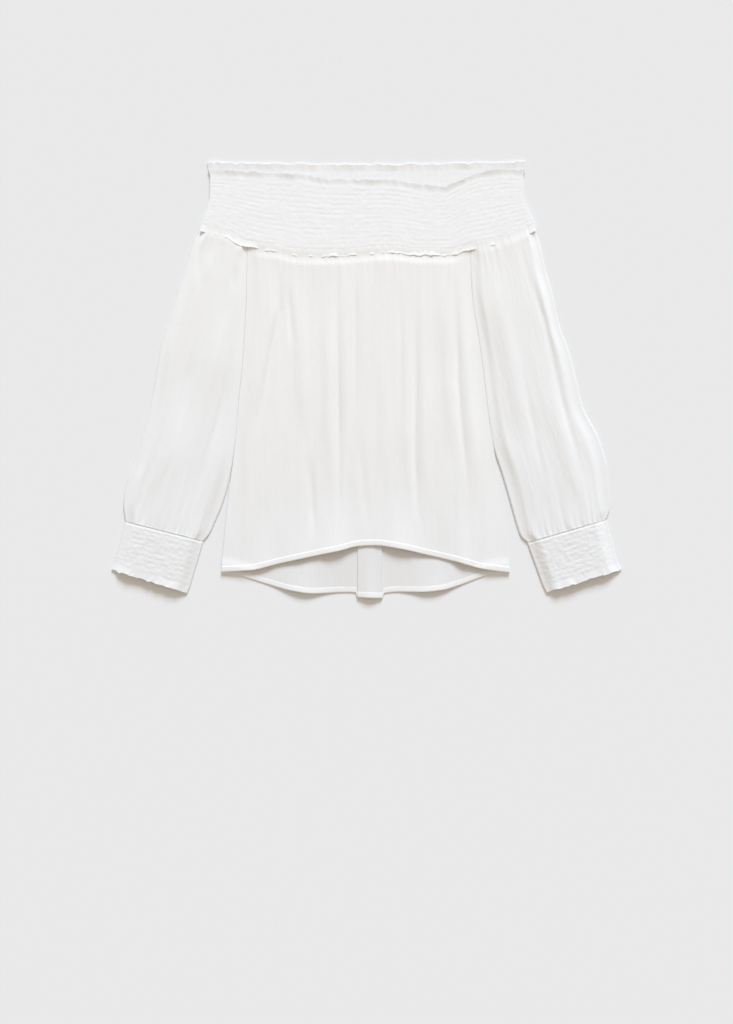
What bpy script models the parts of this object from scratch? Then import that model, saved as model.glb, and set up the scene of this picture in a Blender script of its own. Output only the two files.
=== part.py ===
"""Off-the-shoulder blouse, laid flat: a shirred yoke all round, gathered front and back, long
sleeves gathered into shirred cuffs, and small frills at the yoke's and the cuffs' edges.

The cloth lies on the plane z = 0 with its front up, its neck towards +Y and its left-hand side
in the picture towards -X. Tables and sizes are in millimetres, and the meshes in metres.
"""

import math

import bmesh
import bpy
import numpy as np

MM = 0.001

# Thickness of the cloth and room between pieces
WALL = 1.1
SEAM_GAP = 0.3
HALF_GAP = 0.5 * SEAM_GAP

# The yoke: one shirred band, a front and a back half lying on each other
FRILL_HEIGHT = 8.5
SMOCK_ROWS = 13
SMOCK_COLUMNS = 38
SMOCK_RISE = 1.7
YOKE_BACK_WALL = 1.4
YOKE_FRONT_WALL = 2.0
YOKE_WAVES = 27
YOKE_CORNER_LEFT = -212.8
YOKE_CORNER_RIGHT = 216.5

# Body: front and back panel, joined at the sides
ARMHOLE_LEFT = -154.5
ARMHOLE_RIGHT = 133.7
HEM_HEIGHT = 7.0
HEM_WALL = 2.0
BODY_COLUMNS = 40
GATHERS = 24
GATHER_RISE = 0.45
FRONT_LOFT = 1.7
BOX_FOLD_LEFT = -11.7
BOX_FOLD_RIGHT = 20.3
BOX_FOLD_RISE = 1.4
BOX_FOLD_TOP = -130.0
BACK_COLUMNS = 12
BACK_HEM_COLUMNS = 40

# Sleeves and cuffs: flattened tubes
SLEEVE_COLUMNS = 14
SLEEVE_LOFT = 1.8
SLEEVE_GATHERS = 8
SLEEVE_GATHER_RISE = 0.6
FOLD_EDGE = 2.0
INNER_EDGE = 1.8
CUFF_ROWS = 8
CUFF_COLUMNS = 18
CUFF_LOFT = 2.4
CUFF_SMOCK_RISE = 1.7
CUFF_FRILL_WAVES = 9

# Level changes where the back's lower frill lies under the panels
UNDER_FRILL_WALL = 0.9
STEP_UP = UNDER_FRILL_WALL + SEAM_GAP
FRILL_WAVE_RISE = 2.0

# Outlines in the plane. Rows: x, y
YOKE_TOP_FRONT = [
    (-201.5, 273.0), (-92.3, 266.5), (-35.1, 260.0), (16.9, 260.0), (55.9, 256.1),
    (100.1, 250.9), (115.7, 257.5), (131.3, 263.9), (146.9, 270.0), (172.9, 273.7), (199.5, 273.0),
]
YOKE_TOP_BACK = [(-206.7, 282.0), (0.0, 279.5), (206.7, 283.4)]
YOKE_LOWER_EDGE = [
    (-215.8, 195.0), (-180.7, 184.6), (-154.7, 172.9), (-113.1, 166.4), (-92.3, 161.4),
    (-48.1, 159.9), (-9.1, 162.5), (29.9, 165.1), (68.9, 161.4), (105.3, 161.4),
    (133.9, 169.0), (159.9, 174.2), (193.7, 184.6), (219.7, 195.0),
]
FRONT_HEM_EDGE = [
    (-188.5, -249.6), (-153.4, -247.6), (-109.7, -237.9), (-66.3, -228.5), (-33.2, -221.6),
    (-11.2, -216.2), (10.4, -215.0), (43.6, -219.4), (79.0, -227.5), (114.7, -235.8),
    (152.9, -246.0), (185.9, -250.4),
]
BACK_HEM_EDGE = [
    (-188.5, -249.6), (-175.5, -251.5), (-148.2, -259.4), (-120.9, -267.8), (-98.8, -273.7),
    (-68.9, -277.6), (-27.6, -276.0), (-14.1, -276.6), (-12.1, -282.4), (20.7, -283.6),
    (22.7, -277.4), (43.6, -275.4), (70.9, -275.6), (98.3, -273.0), (122.9, -266.0),
    (144.7, -258.1), (163.8, -252.0), (185.9, -250.4),
]

# Ends of the yoke's rows. Columns: part of the way down, x at the left, x at the right
YOKE_SIDES = [
    (0.0, -203.5, 201.5),
    (0.45, -204.0, 202.8),
    (0.65, -206.0, 205.0),
    (1.0, YOKE_CORNER_LEFT, YOKE_CORNER_RIGHT),
]

# Armhole and side seams of the body. Rows: y, x
SIDE_LEFT = [
    (182.0, ARMHOLE_LEFT), (101.0, -156.0), (65.0, -157.8), (18.0, -161.0), (-26.0, -165.5),
    (-78.0, -170.0), (-119.0, -175.0), (-165.0, -180.7), (-210.0, -185.0), (-250.4, -188.5),
]
SIDE_RIGHT = [
    (182.0, ARMHOLE_RIGHT), (117.0, 136.5), (98.0, 138.2), (65.0, 143.4), (13.0, 151.0),
    (-26.0, 155.6), (-52.0, 158.8), (-91.0, 165.4), (-125.0, 170.8), (-165.0, 178.1),
    (-210.0, 182.5), (-250.4, 185.9),
]

# Rows of the body, as parts of the way from the yoke's seam down to the hem
BODY_ROWS = [0.0, 0.022, 0.042, 0.075, 0.12, 0.19, 0.275, 0.385, 0.49, 0.61, 0.71, 0.81, 0.91, 1.0]
GATHERED_ROWS = 4

# Sleeve edges. Rows: y, x
SLEEVE_OUTER_LEFT = [
    (203.5, YOKE_CORNER_LEFT), (192.4, -215.8), (182.0, -222.3), (143.0, -235.3), (106.6, -247.0),
    (75.4, -257.4), (39.0, -267.8), (-20.8, -278.2), (-104.0, -300.3), (-130.0, -310.7),
    (-162.5, -315.9), (-183.3, -313.3),
]
SLEEVE_INNER_LEFT = [
    (-119.0, -176.0), (-145.0, -182.0), (-165.0, -188.5), (-185.0, -197.0), (-200.0, -204.0),
    (-208.8, -211.5),
]
SLEEVE_OUTER_RIGHT = [
    (203.5, YOKE_CORNER_RIGHT), (192.4, 219.7), (174.2, 226.2), (143.0, 232.7), (117.0, 240.5),
    (71.5, 250.9), (39.0, 262.6), (5.2, 271.7), (-33.8, 281.0), (-78.0, 302.9),
    (-117.0, 313.3), (-166.4, 315.9), (-180.7, 312.0),
]
SLEEVE_INNER_RIGHT = [
    (-91.0, 166.5), (-120.0, 175.5), (-156.0, 186.0), (-190.0, 195.7), (-203.0, 200.5),
    (-210.8, 208.5),
]

# Sections of a sleeve. Columns: y of the outer edge, part of the way down the body's side
SLEEVE_ROWS_LEFT = [
    (203.5, 0.0), (191.5, 0.022), (183.0, 0.042), (170.0, 0.075), (151.0, 0.12), (122.0, 0.19),
    (88.0, 0.275), (46.0, 0.385), (0.0, 0.49), (-56.0, 0.61), (-104.0, 0.71),
    (-140.0, 0.80), (-166.0, 0.868), (-183.3, 0.9185),
]
SLEEVE_ROWS_RIGHT = [
    (203.5, 0.0), (191.5, 0.022), (183.0, 0.042), (170.0, 0.075), (151.0, 0.12), (122.0, 0.19),
    (88.0, 0.275), (46.0, 0.385), (0.0, 0.49), (-52.0, 0.61), (-100.0, 0.71),
    (-138.0, 0.80), (-164.0, 0.868), (-180.7, 0.922),
]

# Cuff corners. Columns: outer x, outer y, inner x, inner y
CUFF_LEFT = {
    "seam": (-313.3, -183.3, -211.5, -208.8),
    "frill seam": (-327.5, -238.5, -229.0, -267.5),
    "end": (-331.5, -246.5, -232.5, -276.5),
}
CUFF_RIGHT = {
    "seam": (312.0, -180.7, 208.5, -210.8),
    "frill seam": (326.5, -237.5, 229.0, -267.0),
    "end": (331.5, -246.0, 233.5, -276.0),
}

# Creases. Columns: points the crease runs through, width, height (a trough is below zero)
FRONT_CREASES = [
    ([(-111.8, 158.6), (-113.1, 91.0), (-123.5, 39.0), (-133.9, -26.0), (-141.7, -78.0)], 8.0, -1.1),
    ([(-122.0, 140.0), (-125.0, 80.0), (-136.0, 20.0), (-147.0, -50.0)], 7.0, 1.2),
    ([(-100.1, 119.6), (-97.5, 39.0)], 7.0, -0.8),
    ([(-88.0, 130.0), (-84.0, 20.0), (-82.0, -60.0)], 9.0, 1.3),
    ([(-37.7, 153.4), (-37.7, -7.8), (-35.1, -202.8)], 7.0, -1.0),
    ([(-48.5, 140.0), (-49.0, -20.0), (-46.0, -170.0)], 8.0, 1.3),
    ([(-74.1, -104.0), (-67.6, -214.5)], 8.0, -0.9),
    ([(-22.0, 110.0), (-21.0, -60.0)], 7.0, 0.9),
    ([(44.2, 109.0), (44.2, -26.0)], 7.0, -0.6),
    ([(65.0, 96.2), (62.4, -104.0), (66.3, -169.0), (79.3, -218.4)], 7.5, -1.1),
    ([(77.0, 120.0), (74.0, -100.0), (80.0, -160.0)], 8.0, 1.3),
    ([(110.5, 143.0), (117.0, 104.0), (118.3, 0.0), (123.5, -65.0), (131.3, -130.0), (132.6, -169.0)],
     7.0, -1.1),
    ([(102.0, 120.0), (106.0, 0.0), (113.0, -90.0)], 7.5, 1.2),
]
SLEEVE_CREASES_LEFT = [
    ([(-166.0, 93.6), (-175.5, 52.0), (-178.0, 13.0), (-186.0, -26.0), (-206.7, -104.0),
      (-217.0, -140.0), (-232.7, -182.0)], 8.0, -1.4),
    ([(-190.0, 110.0), (-196.0, 30.0), (-215.0, -60.0), (-232.0, -130.0)], 10.0, 1.3),
    ([(-212.0, 182.0), (-222.3, 132.6)], 9.0, -1.1),
    ([(-236.6, -13.0), (-262.6, -117.0), (-284.7, -184.6)], 11.0, 1.5),
]
SLEEVE_CREASES_RIGHT = [
    ([(193.7, 182.0), (214.5, 127.4), (232.7, 72.8), (253.5, -23.4), (274.3, -101.4),
      (292.5, -161.2)], 9.0, -1.4),
    ([(166.0, 130.0), (180.0, 60.0), (196.0, -30.0), (214.0, -110.0)], 10.0, 1.3),
    ([(235.3, -26.0), (266.5, -123.5), (279.5, -182.0)], 11.0, 1.5),
    ([(144.0, 90.0), (152.0, 13.0), (158.0, -26.0), (169.0, -91.0)], 7.0, -0.9),
]

CLOTH_COLOURS = {
    "yoke": (0.90, 0.90, 0.89),
    "body": (0.86, 0.845, 0.82),
    "sleeve": (0.84, 0.83, 0.81),
}


def clear_scene():
    """Remove whatever the file holds."""
    for item in list(bpy.data.objects):
        bpy.data.objects.remove(item, do_unlink=True)


def read_curve(table, at):
    """Read a smooth curve through a table's rows, with no overshoot between them."""
    rows = sorted(table)
    place = np.array([row[0] for row in rows])
    value = np.array([row[1] for row in rows])
    span = np.diff(place)
    slope = np.diff(value) / span
    tangent = np.zeros(len(rows))
    tangent[0] = slope[0]
    tangent[-1] = slope[-1]
    for i in range(1, len(rows) - 1):
        before, after = slope[i - 1], slope[i]
        if before * after > 0:
            tangent[i] = 2.0 * before * after / (before + after)
    at = np.clip(np.asarray(at, float), place[0], place[-1])
    piece = np.clip(np.searchsorted(place, at) - 1, 0, len(span) - 1)
    t = (at - place[piece]) / span[piece]
    start = (1 + 2 * t) * (1 - t) ** 2 * value[piece] + t * (1 - t) ** 2 * span[piece] * tangent[piece]
    finish = t * t * (3 - 2 * t) * value[piece + 1] + t * t * (t - 1) * span[piece] * tangent[piece + 1]
    return start + finish


def ease(value):
    """Go from 0 to 1 softly."""
    value = np.clip(value, 0.0, 1.0)
    return value * value * (3.0 - 2.0 * value)


def crease_height(x, y, creases):
    """Add up the troughs and ridges at points of the plane; each fades out at its two ends."""
    total = np.zeros_like(x)
    for path, width, height in creases:
        way = [math.dist(a, b) for a, b in zip(path, path[1:])]
        length = sum(way)
        best = np.full_like(x, 1e9)
        along = np.zeros_like(x)
        walked = 0.0
        for (ax, ay), (bx, by), step in zip(path, path[1:], way):
            t = np.clip(((x - ax) * (bx - ax) + (y - ay) * (by - ay)) / step**2, 0.0, 1.0)
            off = np.hypot(x - ax - t * (bx - ax), y - ay - t * (by - ay))
            nearer = off < best
            best = np.where(nearer, off, best)
            along = np.where(nearer, walked + t * step, along)
            walked += step
        fade = ease(along / (0.25 * length)) * ease((length - along) / (0.25 * length))
        total += height * fade * np.exp(-((best / width) ** 2) * 2.0)
    return total


def wave_stations(waves, steps, drift):
    """Places from 0 to 1 with a fixed number of steps in each wave, the waves being uneven."""
    fine = np.linspace(0.0, 1.0, 2001)
    phase = fine * waves
    phase = phase + drift * np.sin(2 * math.pi * 3.3 * fine) / (2 * math.pi)
    phase = phase + 0.6 * drift * np.sin(2 * math.pi * 7.1 * fine + 1.0) / (2 * math.pi)
    phase = (phase - phase[0]) / (phase[-1] - phase[0]) * waves
    return np.interp(np.linspace(0, waves, waves * steps + 1), phase, fine)


def wave_heights(count, steps, uneven):
    """Heights from 0 to 1 at the wave stations; the crests differ in height."""
    i = np.arange(count)
    crest = 1.0 - uneven * (0.5 + 0.5 * np.sin(i / steps * 2.4 + 0.8 * np.sin(i / steps)))
    return crest * (0.5 - 0.5 * np.cos(2 * math.pi * i / steps))


def points(x, y, z):
    """Stack coordinates into rows of points."""
    x = np.asarray(x, float)
    return np.column_stack([x, np.broadcast_to(y, x.shape), np.broadcast_to(z, x.shape)])


def walked_shares(row):
    """How far along its row each vertex is, from 0 to 1."""
    steps = [(b.co - a.co).length for a, b in zip(row, row[1:])]
    return np.concatenate([[0.0], np.cumsum(steps)]) / sum(steps)


def join_rows(mesh, first, second):
    """Fill the strip between two rows of vertices, which may differ in number."""
    if len(first) == len(second):
        for i in range(len(first) - 1):
            mesh.faces.new((first[i], first[i + 1], second[i + 1], second[i]))
        return
    first_at = walked_shares(first)
    second_at = walked_shares(second)
    a = b = 0
    while a < len(first) - 1 or b < len(second) - 1:
        if b == len(second) - 1 or (a < len(first) - 1 and first_at[a + 1] <= second_at[b + 1]):
            mesh.faces.new((first[a], first[a + 1], second[b]))
            a += 1
        else:
            mesh.faces.new((first[a], second[b + 1], second[b]))
            b += 1


def finish_piece(mesh, name, kind):
    """Make an object of a closed mesh, with its own cloth material."""
    bmesh.ops.recalc_face_normals(mesh, faces=mesh.faces)
    data = bpy.data.meshes.new(name)
    mesh.to_mesh(data)
    mesh.free()
    piece = bpy.data.objects.new(name, data)
    bpy.context.scene.collection.objects.link(piece)
    cloth = bpy.data.materials.new(name + "_cloth")
    cloth.use_nodes = True
    shader = cloth.node_tree.nodes["Principled BSDF"]
    shader.inputs["Base Color"].default_value = (*CLOTH_COLOURS[kind], 1.0)
    shader.inputs["Roughness"].default_value = 0.85
    shader.inputs["Metallic"].default_value = 0.0
    data.materials.append(cloth)
    return piece


def sheet(name, kind, top, under):
    """A flat piece of cloth: rows of its upper face, and rows of its lower face."""
    mesh = bmesh.new()
    top = [[mesh.verts.new(p * MM) for p in row] for row in top]
    under = [[mesh.verts.new(p * MM) for p in row] for row in under]
    for face in (top, under):
        for first, second in zip(face, face[1:]):
            join_rows(mesh, first, second)
    join_rows(mesh, top[0], under[0])
    join_rows(mesh, top[-1], under[-1])
    for end in (0, -1):
        join_rows(mesh, [row[end] for row in top], [row[end] for row in under])
    return finish_piece(mesh, name, kind)


def tube(name, kind, outer, inner):
    """A flattened tube, open at both ends. Each ring is an upper and a lower row, ends shared."""
    mesh = bmesh.new()

    def make_ring(ring):
        upper = [mesh.verts.new(p * MM) for p in ring[0]]
        middle = [mesh.verts.new(p * MM) for p in ring[1][1:-1]]
        return upper, [upper[0], *middle, upper[-1]]

    outer = [make_ring(ring) for ring in outer]
    inner = [make_ring(ring) for ring in inner]
    for rings in (outer, inner):
        for first, second in zip(rings, rings[1:]):
            join_rows(mesh, first[0], second[0])
            join_rows(mesh, first[1], second[1])
    for end in (0, -1):
        join_rows(mesh, outer[end][0], inner[end][0])
        join_rows(mesh, outer[end][1], inner[end][1])
    return finish_piece(mesh, name, kind)


def flat_ring(left, right, shares, height, lift, low_points, wall=WALL):
    """Outer and inner ring of a flattened tube between two edge points.

    shares: places of the upper row's points across the width; height: their height over lift.
    """
    left = np.array(left, float)
    right = np.array(right, float)
    width = math.dist(left, right)
    across = (right - left) / width
    middle = lift + wall + HALF_GAP

    def place(distance, z):
        spot = left + across * distance
        return np.array([spot[0], spot[1], z])

    def rings(edge, inset, drop, floor):
        upper = [place(edge, middle)]
        for share, z in zip(shares, height):
            upper.append(place(inset + share * (width - 2 * inset), lift + z - drop))
        upper.append(place(width - edge, middle))
        lower = [upper[0]]
        for share in np.linspace(0, 1, low_points):
            lower.append(place(inset + share * (width - 2 * inset), floor))
        lower.append(upper[-1])
        return upper, lower

    outside = rings(0.0, FOLD_EDGE, 0.0, lift)
    inside = rings(INNER_EDGE, FOLD_EDGE + 1.0, wall, lift + wall)
    return outside, inside


def yoke_seam_y(x):
    """The seam where panels and sleeves meet the yoke, straight between the yoke's own points."""
    stations = np.linspace(YOKE_CORNER_LEFT, YOKE_CORNER_RIGHT, SMOCK_COLUMNS + 1)
    return np.interp(x, stations, read_curve(YOKE_LOWER_EDGE, stations) + FRILL_HEIGHT)


def yoke_top_y(table, x):
    """The last elastic row below a top frill, straight between the yoke's own points."""
    stations = np.linspace(YOKE_SIDES[0][1], YOKE_SIDES[0][2], SMOCK_COLUMNS + 1)
    return np.interp(x, stations, read_curve(table, stations) - FRILL_HEIGHT)


def yoke_rows(top_table, downs, columns):
    """Plan of the yoke: one row of (x, y) for each part of the way down."""
    share = np.linspace(0.0, 1.0, columns + 1)
    sides = np.array(YOKE_SIDES)
    top_x = sides[0, 1] + share * (sides[0, 2] - sides[0, 1])
    low_x = sides[-1, 1] + share * (sides[-1, 2] - sides[-1, 1])
    top_y = yoke_top_y(top_table, top_x)
    low_y = yoke_seam_y(low_x)
    rows = []
    for down in downs:
        left = read_curve([(row[0], row[1]) for row in YOKE_SIDES], down)
        right = read_curve([(row[0], row[2]) for row in YOKE_SIDES], down)
        x = left + share * (right - left)
        y = (1 - down) * (top_y - HALF_GAP) + down * (low_y + HALF_GAP)
        rows.append((x, y))
    return rows


def smocking(row, columns, rise):
    """Height of the puffs between two elastic threads, which lean on each other unevenly."""
    i = np.arange(columns + 1)
    brick = np.where((i + row) % 2 == 0, 1.0, 0.62)
    uneven = 1.0 + 0.12 * np.sin(1.7 * i + 2.3 * row) + 0.08 * np.sin(0.6 * i - 1.1 * row)
    return rise * brick * uneven


def make_yoke_front():
    """The front half, its cloth puffed up between the elastic threads over a plain inside."""
    low = YOKE_BACK_WALL + SEAM_GAP
    downs = np.linspace(0.0, 1.0, 2 * SMOCK_ROWS + 1)
    top = []
    for k, (x, y) in enumerate(yoke_rows(YOKE_TOP_FRONT, downs, SMOCK_COLUMNS)):
        z = np.full(len(x), low + YOKE_FRONT_WALL)
        if k % 2 == 1:
            z += smocking(k // 2, SMOCK_COLUMNS, SMOCK_RISE)
        top.append(points(x, y, z))
    under = [points(x, y, low) for x, y in yoke_rows(YOKE_TOP_FRONT, (0.0, 1.0), SMOCK_COLUMNS)]
    return sheet("yoke_front", "yoke", top, under)


def make_yoke_back():
    """The back half; its inside shows above the front's top edge, with three puffed rows."""
    shown = [0.0, 0.035, 0.07, 0.105, 0.14, 0.175, 0.21, 1.0]
    top = []
    for k, (x, y) in enumerate(yoke_rows(YOKE_TOP_BACK, shown, SMOCK_COLUMNS)):
        z = np.full(len(x), YOKE_BACK_WALL)
        if k % 2 == 1 and k < len(shown) - 1:
            clear = ease((y - read_curve(YOKE_TOP_FRONT, x) - 2.0) / 3.0)
            z += clear * smocking(k // 2, SMOCK_COLUMNS, SMOCK_RISE * 0.7)
        top.append(points(x, y, z))
    under = [points(x, y, 0.0) for x, y in yoke_rows(YOKE_TOP_BACK, (0.0, 1.0), SMOCK_COLUMNS)]
    return sheet("yoke_back", "yoke", top, under)


def frill(name, root, edge, low_root, low_edge, waves, flat_under, rise=FRILL_WAVE_RISE):
    """A strip of cloth past the last elastic row, rippled at its free edge.

    root and edge are functions from a share of the length to x and y.
    """
    steps = 4
    share = wave_stations(waves, steps, 0.5)
    wave = wave_heights(len(share), steps, 0.45)
    root_x, root_y = root(share)
    edge_x, edge_y = edge(share)
    lean = 0.4 * np.sin(2 * math.pi * np.arange(len(share)) / steps)
    top = [
        points(root_x, root_y, low_root + WALL + 0.35 * rise * wave),
        points(edge_x + lean, edge_y, low_edge + WALL + rise * wave),
    ]
    if flat_under:
        under = [points(root_x, root_y, low_root), points(edge_x + lean, edge_y, low_edge)]
    else:
        under = [
            points(root_x, root_y, low_root + 0.35 * rise * wave),
            points(edge_x + lean, edge_y, low_edge + rise * wave),
        ]
    return sheet(name, "yoke", top, under)


def make_top_frills():
    """The frills above the yoke, front and back."""
    left, right = YOKE_SIDES[0][1], YOKE_SIDES[0][2]

    def edge_ends(table):
        return table[0][0], table[-1][0]

    def root_of(table):
        def root(share):
            x = left + share * (right - left)
            return x, yoke_top_y(table, x) + HALF_GAP
        return root

    def edge_of(table):
        start, end = edge_ends(table)

        def edge(share):
            x = start + share * (end - start)
            return x, read_curve(table, x) - 0.8 + 0.8 * np.cos(2 * math.pi * YOKE_WAVES * share)
        return edge

    front_low = YOKE_BACK_WALL + SEAM_GAP
    frill("top_frill_front", root_of(YOKE_TOP_FRONT), edge_of(YOKE_TOP_FRONT),
          front_low + 0.5, front_low + 0.2, YOKE_WAVES, False)
    frill("top_frill_back", root_of(YOKE_TOP_BACK), edge_of(YOKE_TOP_BACK),
          0.0, 0.0, YOKE_WAVES + 2, True, 1.6)


def make_lower_frills():
    """The frills below the yoke: the front one over the panels, the back one under them."""
    start, end = YOKE_LOWER_EDGE[0][0], YOKE_LOWER_EDGE[-1][0]

    def root(share):
        x = YOKE_CORNER_LEFT + share * (YOKE_CORNER_RIGHT - YOKE_CORNER_LEFT)
        return x, yoke_seam_y(x) - HALF_GAP

    def edge(share):
        x = start + share * (end - start)
        return x, read_curve(YOKE_LOWER_EDGE, x) + 0.8 - 0.8 * np.cos(2 * math.pi * YOKE_WAVES * share)

    top_of_gathers = STEP_UP + WALL + SEAM_GAP + WALL + 2 * GATHER_RISE + SEAM_GAP
    frill("lower_frill_front", root, edge, top_of_gathers, top_of_gathers + 0.5, YOKE_WAVES, False)
    share = np.linspace(0.0, 1.0, SMOCK_COLUMNS + 1)
    rows = [root(share), edge(share)]
    sheet("lower_frill_back", "yoke",
          [points(x, y, UNDER_FRILL_WALL) for x, y in rows], [points(x, y, 0.0) for x, y in rows])


def side_y(down, right_side, hem_table):
    """Height in the picture of a body row's end on one side seam."""
    x = ARMHOLE_RIGHT if right_side else ARMHOLE_LEFT
    top = float(yoke_seam_y(x)) - HALF_GAP
    hem = hem_table[-1][1] if right_side else hem_table[0][1]
    return (1 - down) * top + down * (hem + HEM_HEIGHT)


def body_row(down, share, hem_table, past=0.0):
    """Plan of one row of a body panel, from side seam to side seam; past goes beyond the hem."""
    left_y = side_y(down, False, hem_table) - past
    right_y = side_y(down, True, hem_table) - past
    left = float(read_curve(SIDE_LEFT, left_y)) + HALF_GAP
    right = float(read_curve(SIDE_RIGHT, right_y)) - HALF_GAP
    x = left + share * (right - left)
    top_x = ARMHOLE_LEFT + HALF_GAP + share * (ARMHOLE_RIGHT - ARMHOLE_LEFT - SEAM_GAP)
    top_y = yoke_seam_y(top_x) - HALF_GAP
    hem_y = read_curve(hem_table, x) + HEM_HEIGHT
    y = (1 - down) * top_y + down * hem_y - past
    return x, y


def step_over_frill(down):
    """The panels lie over the back's lower frill for their first rows, then on the ground."""
    return STEP_UP if down < 0.03 else 0.0


def back_height(x, y):
    """How far the back's box fold stands over its plain cloth."""
    rise_left = ease((x - BOX_FOLD_LEFT + 1.0) / 1.5)
    rise_right = ease((BOX_FOLD_RIGHT + 1.0 - x) / 1.5)
    return BOX_FOLD_RISE * rise_left * rise_right * ease((BOX_FOLD_TOP - y) / 40.0)


def back_shares(columns):
    """Places across the back, with more of them at the edges of its box fold."""
    width = SIDE_RIGHT[-1][1] - SIDE_LEFT[-1][1]
    plain = list(np.linspace(0.0, 1.0, columns + 1))
    fold = [(x + off - SIDE_LEFT[-1][1]) / width
            for x, off in ((BOX_FOLD_LEFT, -2.4), (BOX_FOLD_LEFT, -0.4),
                           (BOX_FOLD_RIGHT, 0.4), (BOX_FOLD_RIGHT, 2.4))]
    clear = [share for share in plain if min(abs(share - spot) for spot in fold) > 0.008]
    return np.array(sorted(clear + fold))


def make_back_panel():
    """The back: plain cloth flat on the ground, with the box fold standing on its inside."""
    rows_used = [0.0, 0.022, 0.042, 0.19, 0.385, 0.61, 0.71, 0.81, 0.91, 1.0]
    top, under = [], []
    for down in rows_used:
        columns = BACK_HEM_COLUMNS if down in (0.0, 1.0) else BACK_COLUMNS
        share = back_shares(columns)
        x, y = body_row(down, share, BACK_HEM_EDGE)
        lift = step_over_frill(down)
        top.append(points(x, y, lift + WALL + back_height(x, y)))
        under.append(points(x, y, lift))
    return sheet("back_panel", "body", top, under)


def front_floor(x, y):
    """The lowest level that the front may take over the back and the back's thick hem."""
    near_hem = ease((read_curve(BACK_HEM_EDGE, x) + HEM_HEIGHT + 14.0 - y) / 12.0)
    return WALL + SEAM_GAP + near_hem * (HEM_WALL - WALL)


def front_under(x, y, share, down):
    """Height of the front's lower face: lofted in the middle, creased and gathered."""
    loft = FRONT_LOFT * ease(share / 0.10) * ease((1 - share) / 0.10)
    creases = crease_height(x, y, FRONT_CREASES) * ease(share / 0.05) * ease((1 - share) / 0.05)
    body = front_floor(x, y) + loft + creases * ease((down - 0.03) / 0.08)
    if down < 0.03:
        body = np.full_like(x, STEP_UP + WALL + SEAM_GAP)
    return body


def make_front_panel():
    """The front: gathered under the yoke, creased below, arched up at its hem."""
    steps = 4
    dense = wave_stations(GATHERS, steps, 0.5)
    wave = wave_heights(len(dense), steps, 0.5)
    plain = np.linspace(0.0, 1.0, BODY_COLUMNS + 1)
    top, under = [], []
    for k, down in enumerate(BODY_ROWS):
        share = dense if k < GATHERED_ROWS else plain
        x, y = body_row(down, share, FRONT_HEM_EDGE)
        z = front_under(x, y, share, down)
        if k < GATHERED_ROWS:
            swell = (0.5, 1.0, 1.6, 1.0)[k]
            z = z + 2 * GATHER_RISE * swell * wave * ease(share / 0.03) * ease((1 - share) / 0.03)
        top.append(points(x, y, z + WALL))
        under.append(points(x, y, z))
    return sheet("front_panel", "body", top, under)


def make_front_hem():
    """The front's hem, turned up twice, so thicker than the panel."""
    share = np.linspace(0.0, 1.0, BODY_COLUMNS + 1)
    top, under = [], []
    for past in (SEAM_GAP, HEM_HEIGHT):
        x, y = body_row(1.0, share, FRONT_HEM_EDGE, past)
        z = front_under(x, y, share, 1.0)
        top.append(points(x, y, z + HEM_WALL))
        under.append(points(x, y, z))
    return sheet("front_hem", "body", top, under)


def make_back_hem():
    """The back's hem, turned up twice to the inside, with the box fold running through it."""
    share = back_shares(BACK_HEM_COLUMNS)
    top, under = [], []
    for past in (SEAM_GAP, HEM_HEIGHT):
        x, y = body_row(1.0, share, BACK_HEM_EDGE, past)
        top.append(points(x, y, HEM_WALL + back_height(x, y)))
        under.append(points(x, y, 0.0))
    return sheet("back_hem", "body", top, under)


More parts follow.
